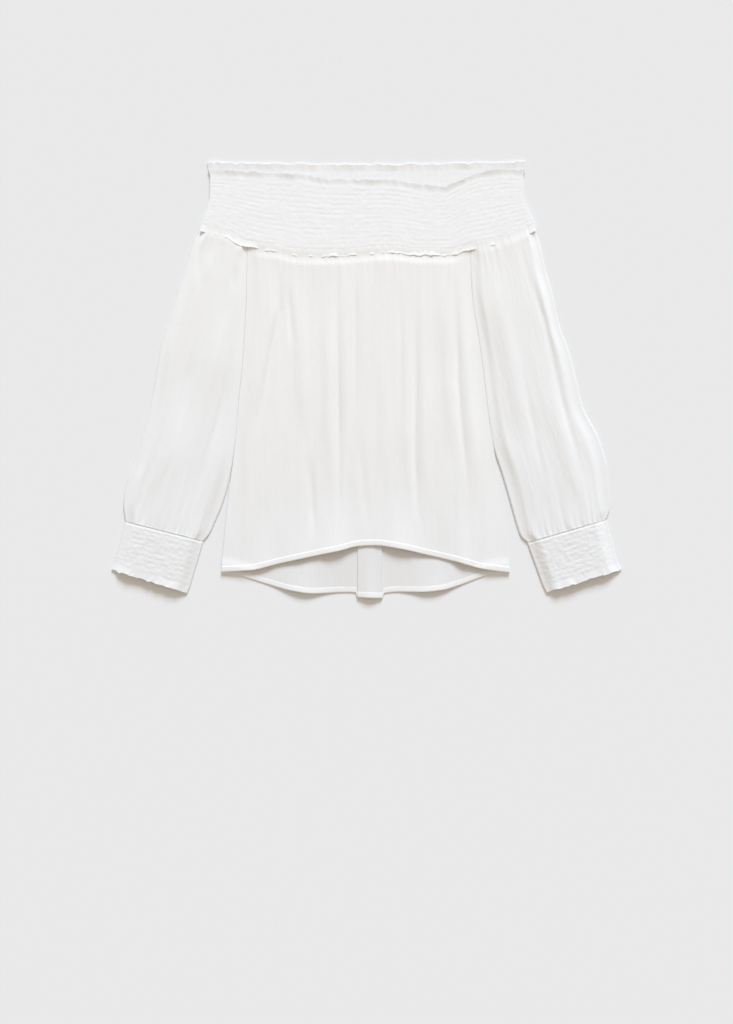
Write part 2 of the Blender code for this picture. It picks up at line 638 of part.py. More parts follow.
def make_sleeve(name, right_side):
    """A sleeve: a flattened tube from the yoke's end, along the body's side, to the cuff."""
    outer_table = SLEEVE_OUTER_RIGHT if right_side else SLEEVE_OUTER_LEFT
    inner_table = SLEEVE_INNER_RIGHT if right_side else SLEEVE_INNER_LEFT
    side_table = SIDE_RIGHT if right_side else SIDE_LEFT
    rows = SLEEVE_ROWS_RIGHT if right_side else SLEEVE_ROWS_LEFT
    creases = SLEEVE_CREASES_RIGHT if right_side else SLEEVE_CREASES_LEFT
    outward = 1 if right_side else -1
    parting = inner_table[0][0]
    outer_rings, inner_rings = [], []
    for k, (outer_y, down) in enumerate(rows):
        inner_y = side_y(down, right_side, FRONT_HEM_EDGE)
        if inner_y > parting:
            inner_x = float(read_curve(side_table, inner_y)) + outward * HALF_GAP
        else:
            inner_x = float(read_curve(inner_table, inner_y))
        outer_x = float(read_curve(outer_table, outer_y))
        outer_point = (outer_x, outer_y - (SEAM_GAP if k == 0 else 0.0))
        if k == len(rows) - 1:
            outer_point = (outer_x, outer_y + SEAM_GAP)
            inner_y += SEAM_GAP
        inner_point = (inner_x, inner_y)
        left, right = (inner_point, outer_point) if right_side else (outer_point, inner_point)
        near_cuff = ease((k - (len(rows) - 5)) / 3.0)
        columns = SLEEVE_GATHERS * 4 if k >= len(rows) - 3 else SLEEVE_COLUMNS
        shares = np.linspace(0.0, 1.0, columns + 1)
        x = left[0] + shares * (right[0] - left[0])
        y = left[1] + shares * (right[1] - left[1])
        round_up = ease(shares / 0.22) * ease((1 - shares) / 0.22)
        height = 2 * WALL + SEAM_GAP + np.zeros(len(shares))
        if k > 1:
            creased = ease((k - 1) / 4.0)
            height += (SLEEVE_LOFT * (0.5 + 0.5 * creased)
                       + creased * crease_height(x, y, creases)) * round_up
        if columns != SLEEVE_COLUMNS:
            wave = wave_heights(len(shares), 4, 0.4)
            height += 2 * SLEEVE_GATHER_RISE * near_cuff * wave * round_up
        lift = step_over_frill(down)
        low_points = SLEEVE_COLUMNS if k == 0 else 3
        outside, inside = flat_ring(left, right, shares, height, lift, low_points)
        outer_rings.append(outside)
        inner_rings.append(inside)
    seam_points(outer_rings[0], inner_rings[0])
    return tube(name, "sleeve", outer_rings, inner_rings)


def seam_points(*rings):
    """Bend a sleeve's first ring to the yoke's curved seam."""
    for ring in rings:
        for row in ring:
            for point in row:
                point[1] = float(yoke_seam_y(point[0])) - SEAM_GAP


def cuff_rows(corners, first, last, count):
    """Plan of a cuff's rows: pairs of outer and inner edge points."""
    start = np.array(corners[first], float)
    end = np.array(corners[last], float)
    return [start + (end - start) * share for share in np.linspace(0.0, 1.0, count)]


def cuff_sides(row, right_side, shift):
    """Left and right edge point of a row, moved along the cuff by shift."""
    outer_x, outer_y, inner_x, inner_y = row
    outer_point = (outer_x, outer_y + shift)
    inner_point = (inner_x, inner_y + shift)
    return (inner_point, outer_point) if right_side else (outer_point, inner_point)


def make_cuff(name, corners, right_side):
    """A cuff: a flattened tube, puffed between its elastic threads on the upper side."""
    outer_rings, inner_rings = [], []
    rows = cuff_rows(corners, "seam", "frill seam", 2 * CUFF_ROWS + 1)
    shares = np.linspace(0.0, 1.0, CUFF_COLUMNS + 1)
    round_up = ease(shares / 0.2) * ease((1 - shares) / 0.2)
    for k, row in enumerate(rows):
        shift = -HALF_GAP if k == 0 else HALF_GAP if k == len(rows) - 1 else 0.0
        left, right = cuff_sides(row, right_side, shift)
        inner_height = 2 * WALL + SEAM_GAP + CUFF_LOFT * round_up
        height = inner_height.copy()
        if k % 2 == 1:
            height += smocking(k // 2, CUFF_COLUMNS, CUFF_SMOCK_RISE) * (0.35 + 0.65 * round_up)
        outside, _ = flat_ring(left, right, shares, height, 0.0, 3)
        outer_rings.append(outside)
        if k in (0, len(rows) // 2, len(rows) - 1):
            _, inside = flat_ring(left, right, shares[::2], inner_height[::2], 0.0, 3)
            inner_rings.append(inside)
    return tube(name, "sleeve", outer_rings, inner_rings)


def make_cuff_frill(name, corners, right_side):
    """The rippled edge of a cuff past its last elastic thread."""
    steps = 4
    outer_rings, inner_rings = [], []
    shares = wave_stations(CUFF_FRILL_WAVES, steps, 0.3)
    wave = wave_heights(len(shares), steps, 0.4)
    for k, row in enumerate(cuff_rows(corners, "frill seam", "end", 2)):
        left, right = cuff_sides(row, right_side, -HALF_GAP if k == 0 else 0.0)
        round_up = ease(shares / 0.12) * ease((1 - shares) / 0.12)
        size = (0.4, 1.0)[k]
        height = 2 * WALL + SEAM_GAP + round_up * ((1.6, 0.6)[k] + FRILL_WAVE_RISE * size * wave)
        outside, inside = flat_ring(left, right, shares, height, 0.0, 3)
        outer_rings.append(outside)
        inner_rings.append(inside)
    return tube(name, "sleeve", outer_rings, inner_rings)


def centre_on_origin():
    """Move every piece so that the whole lies on z = 0 with its middle over the origin."""
    pieces = [item for item in bpy.data.objects if item.type == "MESH"]
    low = np.min([np.min([v.co for v in item.data.vertices], axis=0) for item in pieces], axis=0)
    high = np.max([np.max([v.co for v in item.data.vertices], axis=0) for item in pieces], axis=0)
    shift = (0.5 * (low[0] + high[0]), 0.5 * (low[1] + high[1]), low[2])
    for item in pieces:
        for vertex in item.data.vertices:
            vertex.co.x -= shift[0]
            vertex.co.y -= shift[1]
            vertex.co.z -= shift[2]


clear_scene()
make_yoke_front()
make_yoke_back()
make_top_frills()
make_lower_frills()
make_front_panel()
make_back_panel()
make_front_hem()
make_back_hem()
make_sleeve("sleeve_left", False)
make_sleeve("sleeve_right", True)
make_cuff("cuff_left", CUFF_LEFT, False)
make_cuff("cuff_right", CUFF_RIGHT, True)
make_cuff_frill("cuff_frill_left", CUFF_LEFT, False)
make_cuff_frill("cuff_frill_right", CUFF_RIGHT, True)
centre_on_origin()
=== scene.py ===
import math

import bmesh
import bpy
import numpy as np
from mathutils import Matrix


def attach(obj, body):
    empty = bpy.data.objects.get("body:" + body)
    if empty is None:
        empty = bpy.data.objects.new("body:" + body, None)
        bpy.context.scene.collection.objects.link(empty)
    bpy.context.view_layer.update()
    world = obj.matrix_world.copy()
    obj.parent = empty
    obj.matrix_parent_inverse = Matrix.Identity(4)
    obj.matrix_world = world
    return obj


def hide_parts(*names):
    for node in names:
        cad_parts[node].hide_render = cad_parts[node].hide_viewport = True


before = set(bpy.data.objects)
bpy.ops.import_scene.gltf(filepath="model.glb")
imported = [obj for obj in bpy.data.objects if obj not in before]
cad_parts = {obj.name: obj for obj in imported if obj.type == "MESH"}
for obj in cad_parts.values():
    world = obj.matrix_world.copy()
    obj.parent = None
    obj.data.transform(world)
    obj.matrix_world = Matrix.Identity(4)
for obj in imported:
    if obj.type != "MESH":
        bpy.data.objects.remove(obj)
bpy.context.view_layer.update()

MM = 0.001

# The view: the blouse lies on a pale table and is seen straight from above. One pixel of the
# picture is 1.3 mm, so the picture is 1.331 m tall, and its middle lies 171.5 mm nearer the hem
# than the middle of the blouse's outline.
PICTURE_TALL = 1.331
PICTURE_MIDDLE_Y = -0.1715
CAMERA_HEIGHT = 3.0
SENSOR = 36.0

camera_data = bpy.data.cameras.new("camera")
camera_data.sensor_width = SENSOR
camera_data.lens = SENSOR * CAMERA_HEIGHT / PICTURE_TALL
camera = bpy.data.objects.new("camera", camera_data)
camera.location = (0.0, PICTURE_MIDDLE_Y, CAMERA_HEIGHT)
bpy.context.scene.collection.objects.link(camera)
bpy.context.scene.camera = camera

# The table: one smooth pale top, a little below pure white, with hardly any texture.
TABLE_COLOUR = (0.80, 0.80, 0.80, 1.0)
TABLE_SPECKLE = (0.79, 0.79, 0.79, 1.0)

bpy.ops.mesh.primitive_plane_add(size=8.0, location=(0.0, 0.0, 0.0))
table = bpy.context.object
table.name = "table_top"
table_paint = bpy.data.materials.new("table_paint")
table_paint.use_nodes = True
nodes = table_paint.node_tree.nodes
links = table_paint.node_tree.links
place = nodes.new("ShaderNodeTexCoord")
speckle = nodes.new("ShaderNodeTexNoise")
speckle.inputs["Scale"].default_value = 140.0
blend = nodes.new("ShaderNodeMix")
blend.data_type = "RGBA"
blend.inputs[6].default_value = TABLE_COLOUR
blend.inputs[7].default_value = TABLE_SPECKLE
links.new(place.outputs["Object"], speckle.inputs["Vector"])
links.new(speckle.outputs["Fac"], blend.inputs[0])
links.new(blend.outputs[2], nodes["Principled BSDF"].inputs["Base Color"])
nodes["Principled BSDF"].inputs["Roughness"].default_value = 0.9
nodes["Principled BSDF"].inputs["Specular IOR Level"].default_value = 0.1
table.data.materials.append(table_paint)

# The light: a broad cool window light from beyond the neck, so that soft shadows fall towards the
# hem, and an even warm glow from all round that fills them.
WINDOW_HEIGHT = math.radians(27.5)
WINDOW_TURN = math.radians(-9.0)
WINDOW_SPREAD = math.radians(20.0)
WINDOW_COLOUR = (0.745, 0.862, 1.0)
WINDOW_STRENGTH = 3.92
GLOW_COLOUR = (1.0, 0.885, 0.76, 1.0)
GLOW_STRENGTH = 0.60

window_data = bpy.data.lights.new("window_light", "SUN")
window_data.energy = WINDOW_STRENGTH
window_data.color = WINDOW_COLOUR
window_data.angle = WINDOW_SPREAD
window = bpy.data.objects.new("window_light", window_data)
window.rotation_euler = (-(math.pi / 2 - WINDOW_HEIGHT), 0.0, WINDOW_TURN)
bpy.context.scene.collection.objects.link(window)
world = bpy.data.worlds.new("glow")
world.use_nodes = True
world.node_tree.nodes["Background"].inputs["Color"].default_value = GLOW_COLOUR
world.node_tree.nodes["Background"].inputs["Strength"].default_value = GLOW_STRENGTH
bpy.context.scene.world = world
bpy.context.scene.view_settings.view_transform = "Standard"
bpy.context.scene.view_settings.look = "None"

# The yoke: a band of white crinkled gauze shirred on thirteen elastic threads, front on back. Its
# own cloth stands past the outer threads as a small frill above and below, and the panels and
# sleeves are sewn to its lowest thread. A real one is cut wider than YOKE_CUT says.
WALL = 1.0
SEAM_GAP = 0.3
FRILL_HEIGHT = 8.5
ROLLED_EDGE = 0.3
SMOCK_ROWS = 13
SMOCK_RISE = 0.17
SMOCK_CRUMBS = 0.24
YOKE_CORNER_LEFT = -212.8
YOKE_CORNER_RIGHT = 216.5
YOKE_TOP_LEFT = -203.5
YOKE_TOP_RIGHT = 203.0
YOKE_COLUMNS = 330
YOKE_LEVEL = 2.9
YOKE_LEVEL_GROWTH = 1.3
YOKE_UNDERSIDE = 1.6
BACK_LEVEL = 1.1
FRILL_SHARE = 0.1
FRILL_ROWS_TOP = 5
FRILL_ROWS_LOW = 6
FRONT_ROWS_BETWEEN = 6
BACK_ROWS_BETWEEN = 4
THREAD_GROOVE = 0.2
YOKE_COLOUR = (0.843, 0.840, 0.834)
YOKE_SHADE = (0.832, 0.829, 0.823)

# Outlines in the plane, in millimetres. Rows: x, y
YOKE_TOP_FRONT = [
    (-201.5, 273.0), (-92.3, 266.5), (-35.1, 260.0), (16.9, 260.0), (55.9, 256.1),
    (100.1, 250.9), (115.7, 257.5), (131.3, 263.9), (146.9, 270.0), (172.9, 273.7), (199.5, 273.0),
]
YOKE_TOP_BACK = [(-206.7, 282.0), (0.0, 279.5), (206.7, 283.4)]
YOKE_LOWER_EDGE = [
    (-215.8, 195.0), (-180.7, 184.6), (-154.7, 172.9), (-113.1, 166.4), (-92.3, 161.4),
    (-48.1, 159.9), (-9.1, 162.5), (29.9, 165.1), (68.9, 161.4), (105.3, 161.4),
    (133.9, 169.0), (159.9, 174.2), (193.7, 184.6), (219.7, 195.0),
]
# Sides of the yoke. Rows: y, x at the left, x at the right
YOKE_SIDES = [
    (283.0, -206.7, 206.7), (273.0, -205.5, 206.0), (264.5, -203.0, 203.5), (240.0, -203.5, 203.8),
    (228.0, -205.5, 206.0), (203.5, YOKE_CORNER_LEFT, YOKE_CORNER_RIGHT), (195.0, -215.8, 219.7),
]


def read_curve(table, at):
    """Read a smooth curve through a table's rows, with no overshoot between them."""
    rows = sorted(table)
    spot = np.array([row[0] for row in rows])
    value = np.array([row[1] for row in rows])
    span = np.diff(spot)
    slope = np.diff(value) / span
    tangent = np.concatenate([[slope[0]], np.zeros(len(slope) - 1), [slope[-1]]])
    for i in range(1, len(slope)):
        if slope[i - 1] * slope[i] > 0:
            tangent[i] = 2.0 * slope[i - 1] * slope[i] / (slope[i - 1] + slope[i])
    at = np.clip(np.asarray(at, float), spot[0], spot[-1])
    piece = np.clip(np.searchsorted(spot, at) - 1, 0, len(span) - 1)
    t = (at - spot[piece]) / span[piece]
    start = (1 + 2 * t) * value[piece] + t * span[piece] * tangent[piece]
    end = (3 - 2 * t) * value[piece + 1] + (t - 1) * span[piece] * tangent[piece + 1]
    return (1 - t) ** 2 * start + t * t * end


def ease(value):
    """Go from 0 to 1 softly."""
    value = np.clip(value, 0.0, 1.0)
    return value * value * (3.0 - 2.0 * value)


def soft_noise(u, v, cell_u, cell_v, seed):
    """Uneven values from 0 to 1 that change over about one cell, the same on each run."""
    lattice = np.random.default_rng(seed).random((256, 256))
    a = np.asarray(u) / cell_u + 4096.37
    b = np.asarray(v) / cell_v + 4096.71
    ia, ib = np.floor(a).astype(int), np.floor(b).astype(int)
    fa, fb = ease(a - ia), ease(b - ib)
    ia, ib, ja, jb = ia % 256, ib % 256, (ia + 1) % 256, (ib + 1) % 256
    low = lattice[ia, ib] * (1 - fa) + lattice[ja, ib] * fa
    high = lattice[ia, jb] * (1 - fa) + lattice[ja, jb] * fa
    return low * (1 - fb) + high * fb


def ridges(noise):
    """Turn soft noise into thin raised lines, as crinkled gauze has."""
    return 1.0 - np.abs(2.0 * noise - 1.0)


def crinkle(across, along, seed, rise=0.5):
    """The gauze's own crinkle: thin uneven lines that run along the threads."""
    warp = 2.0 * soft_noise(across, along, 30.0, 22.0, seed + 7)
    fine = ridges(soft_noise(across + warp, along, 3.1, 60.0, seed)) ** 1.5
    broad = soft_noise(across + warp, along, 9.0, 110.0, seed + 1)
    return rise * (0.35 * fine + 0.8 * broad)


def walked_shares(places, row):
    """How far along its row each point is, from 0 to 1."""
    way = [math.dist(places[a], places[b]) for a, b in zip(row, row[1:])]
    return np.concatenate([[0.0], np.cumsum(way)]) / sum(way)


def join_rows(places, faces, first, second):
    """Fill the strip between two rows of points, which may differ in number."""
    if len(first) == len(second):
        faces.extend(zip(first[:-1], first[1:], second[1:], second[:-1]))
        return
    first_at, second_at = walked_shares(places, first), walked_shares(places, second)
    a = b = 0
    while a < len(first) - 1 or b < len(second) - 1:
        if b == len(second) - 1 or (a < len(first) - 1 and first_at[a + 1] <= second_at[b + 1]):
            faces.append((first[a], first[a + 1], second[b]))
            a += 1
        else:
            faces.append((first[a], second[b + 1], second[b]))
            b += 1


def finish_cloth(name, places, faces):
    """Make a smooth object of a closed cloth mesh, its faces pointing out."""
    data = bpy.data.meshes.new(name)
    data.from_pydata([tuple(p) for p in np.array(places) * MM], [], faces)
    mesh = bmesh.new()
    mesh.from_mesh(data)
    bmesh.ops.recalc_face_normals(mesh, faces=mesh.faces)
    mesh.to_mesh(data)
    mesh.free()
    data.shade_smooth()
    data.set_sharp_from_angle(angle=math.radians(65))
    piece = bpy.data.objects.new(name, data)
    bpy.context.scene.collection.objects.link(piece)
    return piece


def add_rows(places, rows):
    """Add rows of points to the list and give their numbers."""
    numbered = []
    for row in rows:
        numbered.append(list(range(len(places), len(places) + len(row))))
        places.extend(row)
    return numbered


def sheet_mesh(name, top, under):
    """A flat cloth: rows of its upper face and of its lower face, closed all round."""
    places, faces = [], []
    top, under = add_rows(places, top), add_rows(places, under)
    for side in (top, under):
        for first, second in zip(side, side[1:]):
            join_rows(places, faces, first, second)
    join_rows(places, faces, top[0], under[0])
    join_rows(places, faces, top[-1], under[-1])
    for end in (0, -1):
        join_rows(places, faces, [row[end] for row in top], [row[end] for row in under])
    return finish_cloth(name, places, faces)


def rows_of(x, y, z):
    """Rows of points from grids of coordinates."""
    return list(np.stack([x, y, np.broadcast_to(z, x.shape)], axis=-1))


def yoke_plan(top_table, downs, columns):
    """Where the yoke's rows lie, from 0 at its top thread to 1 at its lowest; the rest is frill."""
    share = np.linspace(0.0, 1.0, columns + 1)[None, :]
    down = np.asarray(downs)[:, None]
    inside = np.clip(down, 0.0, 1.0)
    past = FRILL_HEIGHT / FRILL_SHARE * (np.clip(-down, 0, 1) - np.clip(down - 1, 0, 1))

    def height(top_x, low_x):
        top_y = read_curve(top_table, top_x) - FRILL_HEIGHT
        low_y = read_curve(YOKE_LOWER_EDGE, low_x) + FRILL_HEIGHT
        return (1 - inside) * top_y + inside * low_y + past

    left_y = height(np.array([[YOKE_TOP_LEFT]]), np.array([[YOKE_CORNER_LEFT]]))
    right_y = height(np.array([[YOKE_TOP_RIGHT]]), np.array([[YOKE_CORNER_RIGHT]]))
    left = read_curve([(row[0], row[1]) for row in YOKE_SIDES], left_y)
    right = read_curve([(row[0], row[2]) for row in YOKE_SIDES], right_y)
    x = left + share * (right - left)
    top_x = YOKE_TOP_LEFT + share * (YOKE_TOP_RIGHT - YOKE_TOP_LEFT)
    low_x = YOKE_CORNER_LEFT + share * (YOKE_CORNER_RIGHT - YOKE_CORNER_LEFT)
    return x, height(top_x, low_x), share + 0.0 * down, down + 0.0 * share


def frill_waves(x, reach, seed):
    """Ripples of a frill, from 0 up; reach is 0 at the thread and 1 at the free edge."""
    slow = soft_noise(x, 0.0 * x, 13.0, 1.0, seed)
    quick = soft_noise(x + 2.5 * reach, 0.0 * x, 5.2, 1.0, seed + 1)
    crumpled = soft_noise(x, 5.0 * reach + 0.0 * x, 2.9, 2.0, seed + 2)
    return 1.3 * slow + 0.8 * quick**1.5 + 0.35 * crumpled * reach


def smocking(x, down, seed):
    """Cloth between the elastic threads: pinched at each thread, crumbled between them."""
    row = np.clip(down, 0.0, 0.99999) * SMOCK_ROWS
    row = row + 0.55 * (soft_noise(x, 0.0 * row, 29.0, 1.0, seed + 3) - 0.5)
    from_thread = np.abs(row - np.round(row))
    clear = soft_noise(x, row, 17.0, 1.7, seed + 4) ** 1.3
    pinch = clear * np.exp(-((from_thread / 0.17) ** 2))
    number = np.floor(row)
    crumbs = soft_noise(x + 1.3 * number, row, 3.3, 0.45, seed)
    lumps = soft_noise(x + 2.1 * number, row, 7.0, 0.9, seed + 1)
    return SMOCK_CRUMBS * (0.6 * crumbs + 0.6 * lumps) + SMOCK_RISE * (1.0 - pinch)


def yoke_downs(rows_between, frill_top, frill_low):
    """Parts of the way down for a yoke mesh, with rows in each frill."""
    downs = list(np.linspace(0.0, 1.0, SMOCK_ROWS * rows_between + 1))
    above = [-FRILL_SHARE * k / frill_top for k in range(frill_top, 0, -1)]
    below = [1.0 + FRILL_SHARE * k / frill_low for k in range(1, frill_low + 1)]
    return np.array(above + downs + below)


def edge_wobble(x, reach, seed):
    """A frill's free edge isn't straight: it rises and falls with its ripples."""
    slow = soft_noise(x, 0.0 * x, 8.0, 1.0, seed) - 0.5
    quick = soft_noise(x, 0.0 * x, 3.4, 1.0, seed + 1) - 0.5
    return reach * (2.6 * slow + 1.3 * quick)


# The front half. Its lower face needs only some of the rows.
downs = yoke_downs(FRONT_ROWS_BETWEEN, FRILL_ROWS_TOP, FRILL_ROWS_LOW)
x, y, share, down = yoke_plan(YOKE_TOP_FRONT, downs, YOKE_COLUMNS)
above = np.clip(-down / FRILL_SHARE, 0.0, 1.0)
below = np.clip((down - 1.0) / FRILL_SHARE, 0.0, 1.0)
on_band = (down >= 0) & (down <= 1)
puffs = smocking(x, down, 11) * np.where(on_band, 1.0, 0.35)
edge_side = ease(share / 0.012) * ease((1 - share) / 0.012)
z = YOKE_LEVEL + YOKE_LEVEL_GROWTH * np.clip(down, 0.0, 1.0) + puffs * (0.3 + 0.7 * edge_side)
z = z + above * (0.9 * frill_waves(x, above, 21) - 0.2)
z = z + below * (1.3 * frill_waves(x, below, 31) - 1.1)
z = z - THREAD_GROOVE * np.exp(-(((down - 1.0) / 0.012) ** 2))
z = z + ROLLED_EDGE * np.exp(-(((below - 0.92) / 0.1) ** 2))
z = z + ROLLED_EDGE * np.exp(-(((above - 0.9) / 0.12) ** 2))
y = y + edge_wobble(x, above, 41) + edge_wobble(x, below, 44)
lowest_thread = FRILL_ROWS_TOP + FRONT_ROWS_BETWEEN * SMOCK_ROWS
threads = range(FRILL_ROWS_TOP, lowest_thread + 1, FRONT_ROWS_BETWEEN)
picked = [0, 2, *threads, lowest_thread + 3, len(downs) - 1]
lower = np.where(on_band, YOKE_UNDERSIDE, z - WALL)
under = rows_of(x[picked], y[picked], lower[picked])
yoke_front = sheet_mesh("yoke_front_cloth", rows_of(x, y, z), under)

# The back half, flat where the front covers it.
downs = yoke_downs(BACK_ROWS_BETWEEN, FRILL_ROWS_TOP, 1)
x, y, share, down = yoke_plan(YOKE_TOP_BACK, downs, YOKE_COLUMNS)
above = np.clip(-down / FRILL_SHARE, 0.0, 1.0)
below = np.clip((down - 1.0) / FRILL_SHARE, 0.0, 1.0)
shown = ease((y - read_curve(YOKE_TOP_FRONT, x) + 1.0) / 4.0)
z = BACK_LEVEL + shown * (0.75 * smocking(x, down, 51) * (1 - above))
z = z + above * (0.8 * frill_waves(x, above, 61) - 0.1) - THREAD_GROOVE * below
y = y + edge_wobble(x, above, 47)
picked = [0, *range(FRILL_ROWS_TOP, len(downs) - 1, BACK_ROWS_BETWEEN), len(downs) - 1]
under = rows_of(x[picked], y[picked], 0.0 * x[picked])
yoke_back = sheet_mesh("yoke_back_cloth", rows_of(x, y, z), under)


def group_socket(group, name, kind, way, value=None):
    """Add a named input or output to a shader group."""
    socket = group.interface.new_socket(name=name, in_out=way, socket_type=kind)
    if value is not None:
        socket.default_value = value


def gauze_group():
    """Crinkled gauze: slubs along the threads, a fine weave, cloudy thick and thin places, and
    painted shade that darkens its colour towards the hem.
    """
    group = bpy.data.node_groups.new("crinkled_gauze", "ShaderNodeTree")
    group_socket(group, "Place", "NodeSocketVector", "INPUT")
    group_socket(group, "Light Colour", "NodeSocketColor", "INPUT", (0.93, 0.93, 0.92, 1.0))
    group_socket(group, "Thin Colour", "NodeSocketColor", "INPUT", (0.87, 0.86, 0.85, 1.0))
    group_socket(group, "Hem Painted Shade", "NodeSocketColor", "INPUT", (1.0, 1.0, 1.0, 1.0))
    group_socket(group, "Painted Shade Share", "NodeSocketFloat", "INPUT", 0.0)
    group_socket(group, "Crinkle", "NodeSocketFloat", "INPUT", 1.0)
    group_socket(group, "Colour", "NodeSocketColor", "OUTPUT")
    group_socket(group, "Height", "NodeSocketFloat", "OUTPUT")
    group_socket(group, "Roughness", "NodeSocketFloat", "OUTPUT")
    make, link = group.nodes.new, group.links.new
    given, result = make("NodeGroupInput"), make("NodeGroupOutput")

    def stretched(scale, noise_scale, detail):
        mapping = make("ShaderNodeMapping")
        mapping.inputs["Scale"].default_value = scale
        noise = make("ShaderNodeTexNoise")
        noise.inputs["Scale"].default_value = noise_scale
        noise.inputs["Detail"].default_value = detail
        link(given.outputs["Place"], mapping.inputs["Vector"])
        link(mapping.outputs["Vector"], noise.inputs["Vector"])
        return noise.outputs["Fac"]

    def sums(kind, a, b):
        node = make("ShaderNodeMath")
        node.operation = kind
        for socket, value in zip(node.inputs, (a, b)):
            if isinstance(value, float):
                socket.default_value = value
            else:
                link(value, socket)
        return node.outputs[0]

    slubs = stretched((1.0, 0.14, 1.0), 420.0, 3.0)
    weft = stretched((0.3, 1.0, 1.0), 700.0, 2.0)
    clouds = stretched((1.0, 0.45, 1.0), 22.0, 4.0)
    lines = stretched((1.0, 0.08, 1.0), 160.0, 2.0)
    thick = sums("ADD", sums("MULTIPLY", clouds, 0.55), sums("MULTIPLY", lines, 0.45))
    spread = make("ShaderNodeMapRange")
    spread.inputs["From Min"].default_value = 0.36
    spread.inputs["From Max"].default_value = 0.62
    link(thick, spread.inputs["Value"])
    mix = make("ShaderNodeMix")
    mix.data_type = "RGBA"
    link(spread.outputs["Result"], mix.inputs[0])
    link(given.outputs["Thin Colour"], mix.inputs[6])
    link(given.outputs["Light Colour"], mix.inputs[7])
    # Painted shade: the colour is multiplied by the hem's shade colour more and more towards the hem.
    painted_shade = make("ShaderNodeMix")
    painted_shade.data_type = "RGBA"
    painted_shade.blend_type = "MULTIPLY"
    link(given.outputs["Painted Shade Share"], painted_shade.inputs[0])
    link(mix.outputs[2], painted_shade.inputs[6])
    link(given.outputs["Hem Painted Shade"], painted_shade.inputs[7])
    link(painted_shade.outputs[2], result.inputs["Colour"])
    height = sums("ADD", sums("MULTIPLY", slubs, 0.6), sums("MULTIPLY", weft, 0.25))
    height = sums("ADD", height, sums("MULTIPLY", lines, 0.8))
    link(sums("MULTIPLY", height, given.outputs["Crinkle"]), result.inputs["Height"])
    rough = sums("ADD", sums("MULTIPLY", slubs, 0.2), 0.72)
    link(rough, result.inputs["Roughness"])
    return group


GAUZE = gauze_group()
# Painted shade towards the hem: none above the first height (object y, metres), full below the
# second.
PAINTED_SHADE_TOP = 0.15
PAINTED_SHADE_FOOT = -0.22
RELIEF_STRENGTH = 0.55
RELIEF_DEPTH = 0.0006


def gauze(name, light, thin, turn=0.0, crinkle_height=1.0, hem_painted_shade=(1.0, 1.0, 1.0)):
    """A gauze material whose threads run along +Y, turned by an angle for a slanting piece.

    Its colour goes over into the last argument's colour times itself from the yoke down to the hem:
    painted shade, darker towards the hem as if the window light were weaker there.
    """
    cloth = bpy.data.materials.new(name)
    cloth.use_nodes = True
    nodes, links = cloth.node_tree.nodes, cloth.node_tree.links
    shader = nodes["Principled BSDF"]
    place = nodes.new("ShaderNodeTexCoord")
    turned = nodes.new("ShaderNodeMapping")
    turned.inputs["Rotation"].default_value = (0.0, 0.0, turn)
    pattern = nodes.new("ShaderNodeGroup")
    pattern.node_tree = GAUZE
    pattern.inputs["Light Colour"].default_value = (*light, 1.0)
    pattern.inputs["Thin Colour"].default_value = (*thin, 1.0)
    pattern.inputs["Crinkle"].default_value = crinkle_height
    pattern.inputs["Hem Painted Shade"].default_value = (*hem_painted_shade, 1.0)
    split = nodes.new("ShaderNodeSeparateXYZ")
    painted_shade_share = nodes.new("ShaderNodeMapRange")
    painted_shade_share.inputs["From Min"].default_value = PAINTED_SHADE_TOP
    painted_shade_share.inputs["From Max"].default_value = PAINTED_SHADE_FOOT
    links.new(place.outputs["Object"], split.inputs["Vector"])
    links.new(split.outputs["Y"], painted_shade_share.inputs["Value"])
    links.new(painted_shade_share.outputs["Result"], pattern.inputs["Painted Shade Share"])
    relief = nodes.new("ShaderNodeBump")
    relief.inputs["Strength"].default_value = RELIEF_STRENGTH
    relief.inputs["Distance"].default_value = RELIEF_DEPTH
    links.new(place.outputs["Object"], turned.inputs["Vector"])
    links.new(turned.outputs["Vector"], pattern.inputs["Place"])
    links.new(pattern.outputs["Colour"], shader.inputs["Base Color"])
    links.new(pattern.outputs["Roughness"], shader.inputs["Roughness"])
    links.new(pattern.outputs["Height"], relief.inputs["Height"])
    links.new(relief.outputs["Normal"], shader.inputs["Normal"])
    shader.inputs["Specular IOR Level"].default_value = 0.2
    shader.inputs["Sheen Weight"].default_value = 0.1
    shader.inputs["Sheen Roughness"].default_value = 0.5
    return cloth


def dress(piece, cloth, nodes_replaced):
    """Give a piece its cloth, its place in the frame and the nodes that it stands for."""
    piece.data.materials.append(cloth)
    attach(piece, "root")
    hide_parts(*nodes_replaced)


yoke_gauze = gauze("yoke_gauze", YOKE_COLOUR, YOKE_SHADE)
dress(yoke_front, yoke_gauze, ("yoke_front", "top_frill_front", "lower_frill_front"))
dress(yoke_back, yoke_gauze, ("yoke_back", "top_frill_back", "lower_frill_back"))

# The body: a front and a back panel of the same gauze, gathered into the yoke's lowest thread
# and joined at the sides. The front lies in soft creases on the back; its hem arches up, and the
# inside of the longer back shows below it.
ARMHOLE_LEFT = -154.5
ARMHOLE_RIGHT = 133.7
HEM_HEIGHT = 7.0
FRONT_LOFT = 2.0
FRONT_GATHERS = 46
FRONT_COLUMNS = 190
FRONT_ROWS = 150
BACK_COLUMNS = 120
BACK_ROWS = 90
BODY_COLOUR = (0.85, 0.84, 0.825)
BODY_THIN = (0.835, 0.823, 0.805)
# Painted shade: the back's inside, where it shows below the front's hem, is painted much darker than
# the body's cloth, for the shade under the front panel.
INSIDE_PAINTED_SHADE_COLOUR = (0.745, 0.735, 0.728)
INSIDE_PAINTED_SHADE_THIN = (0.735, 0.725, 0.718)
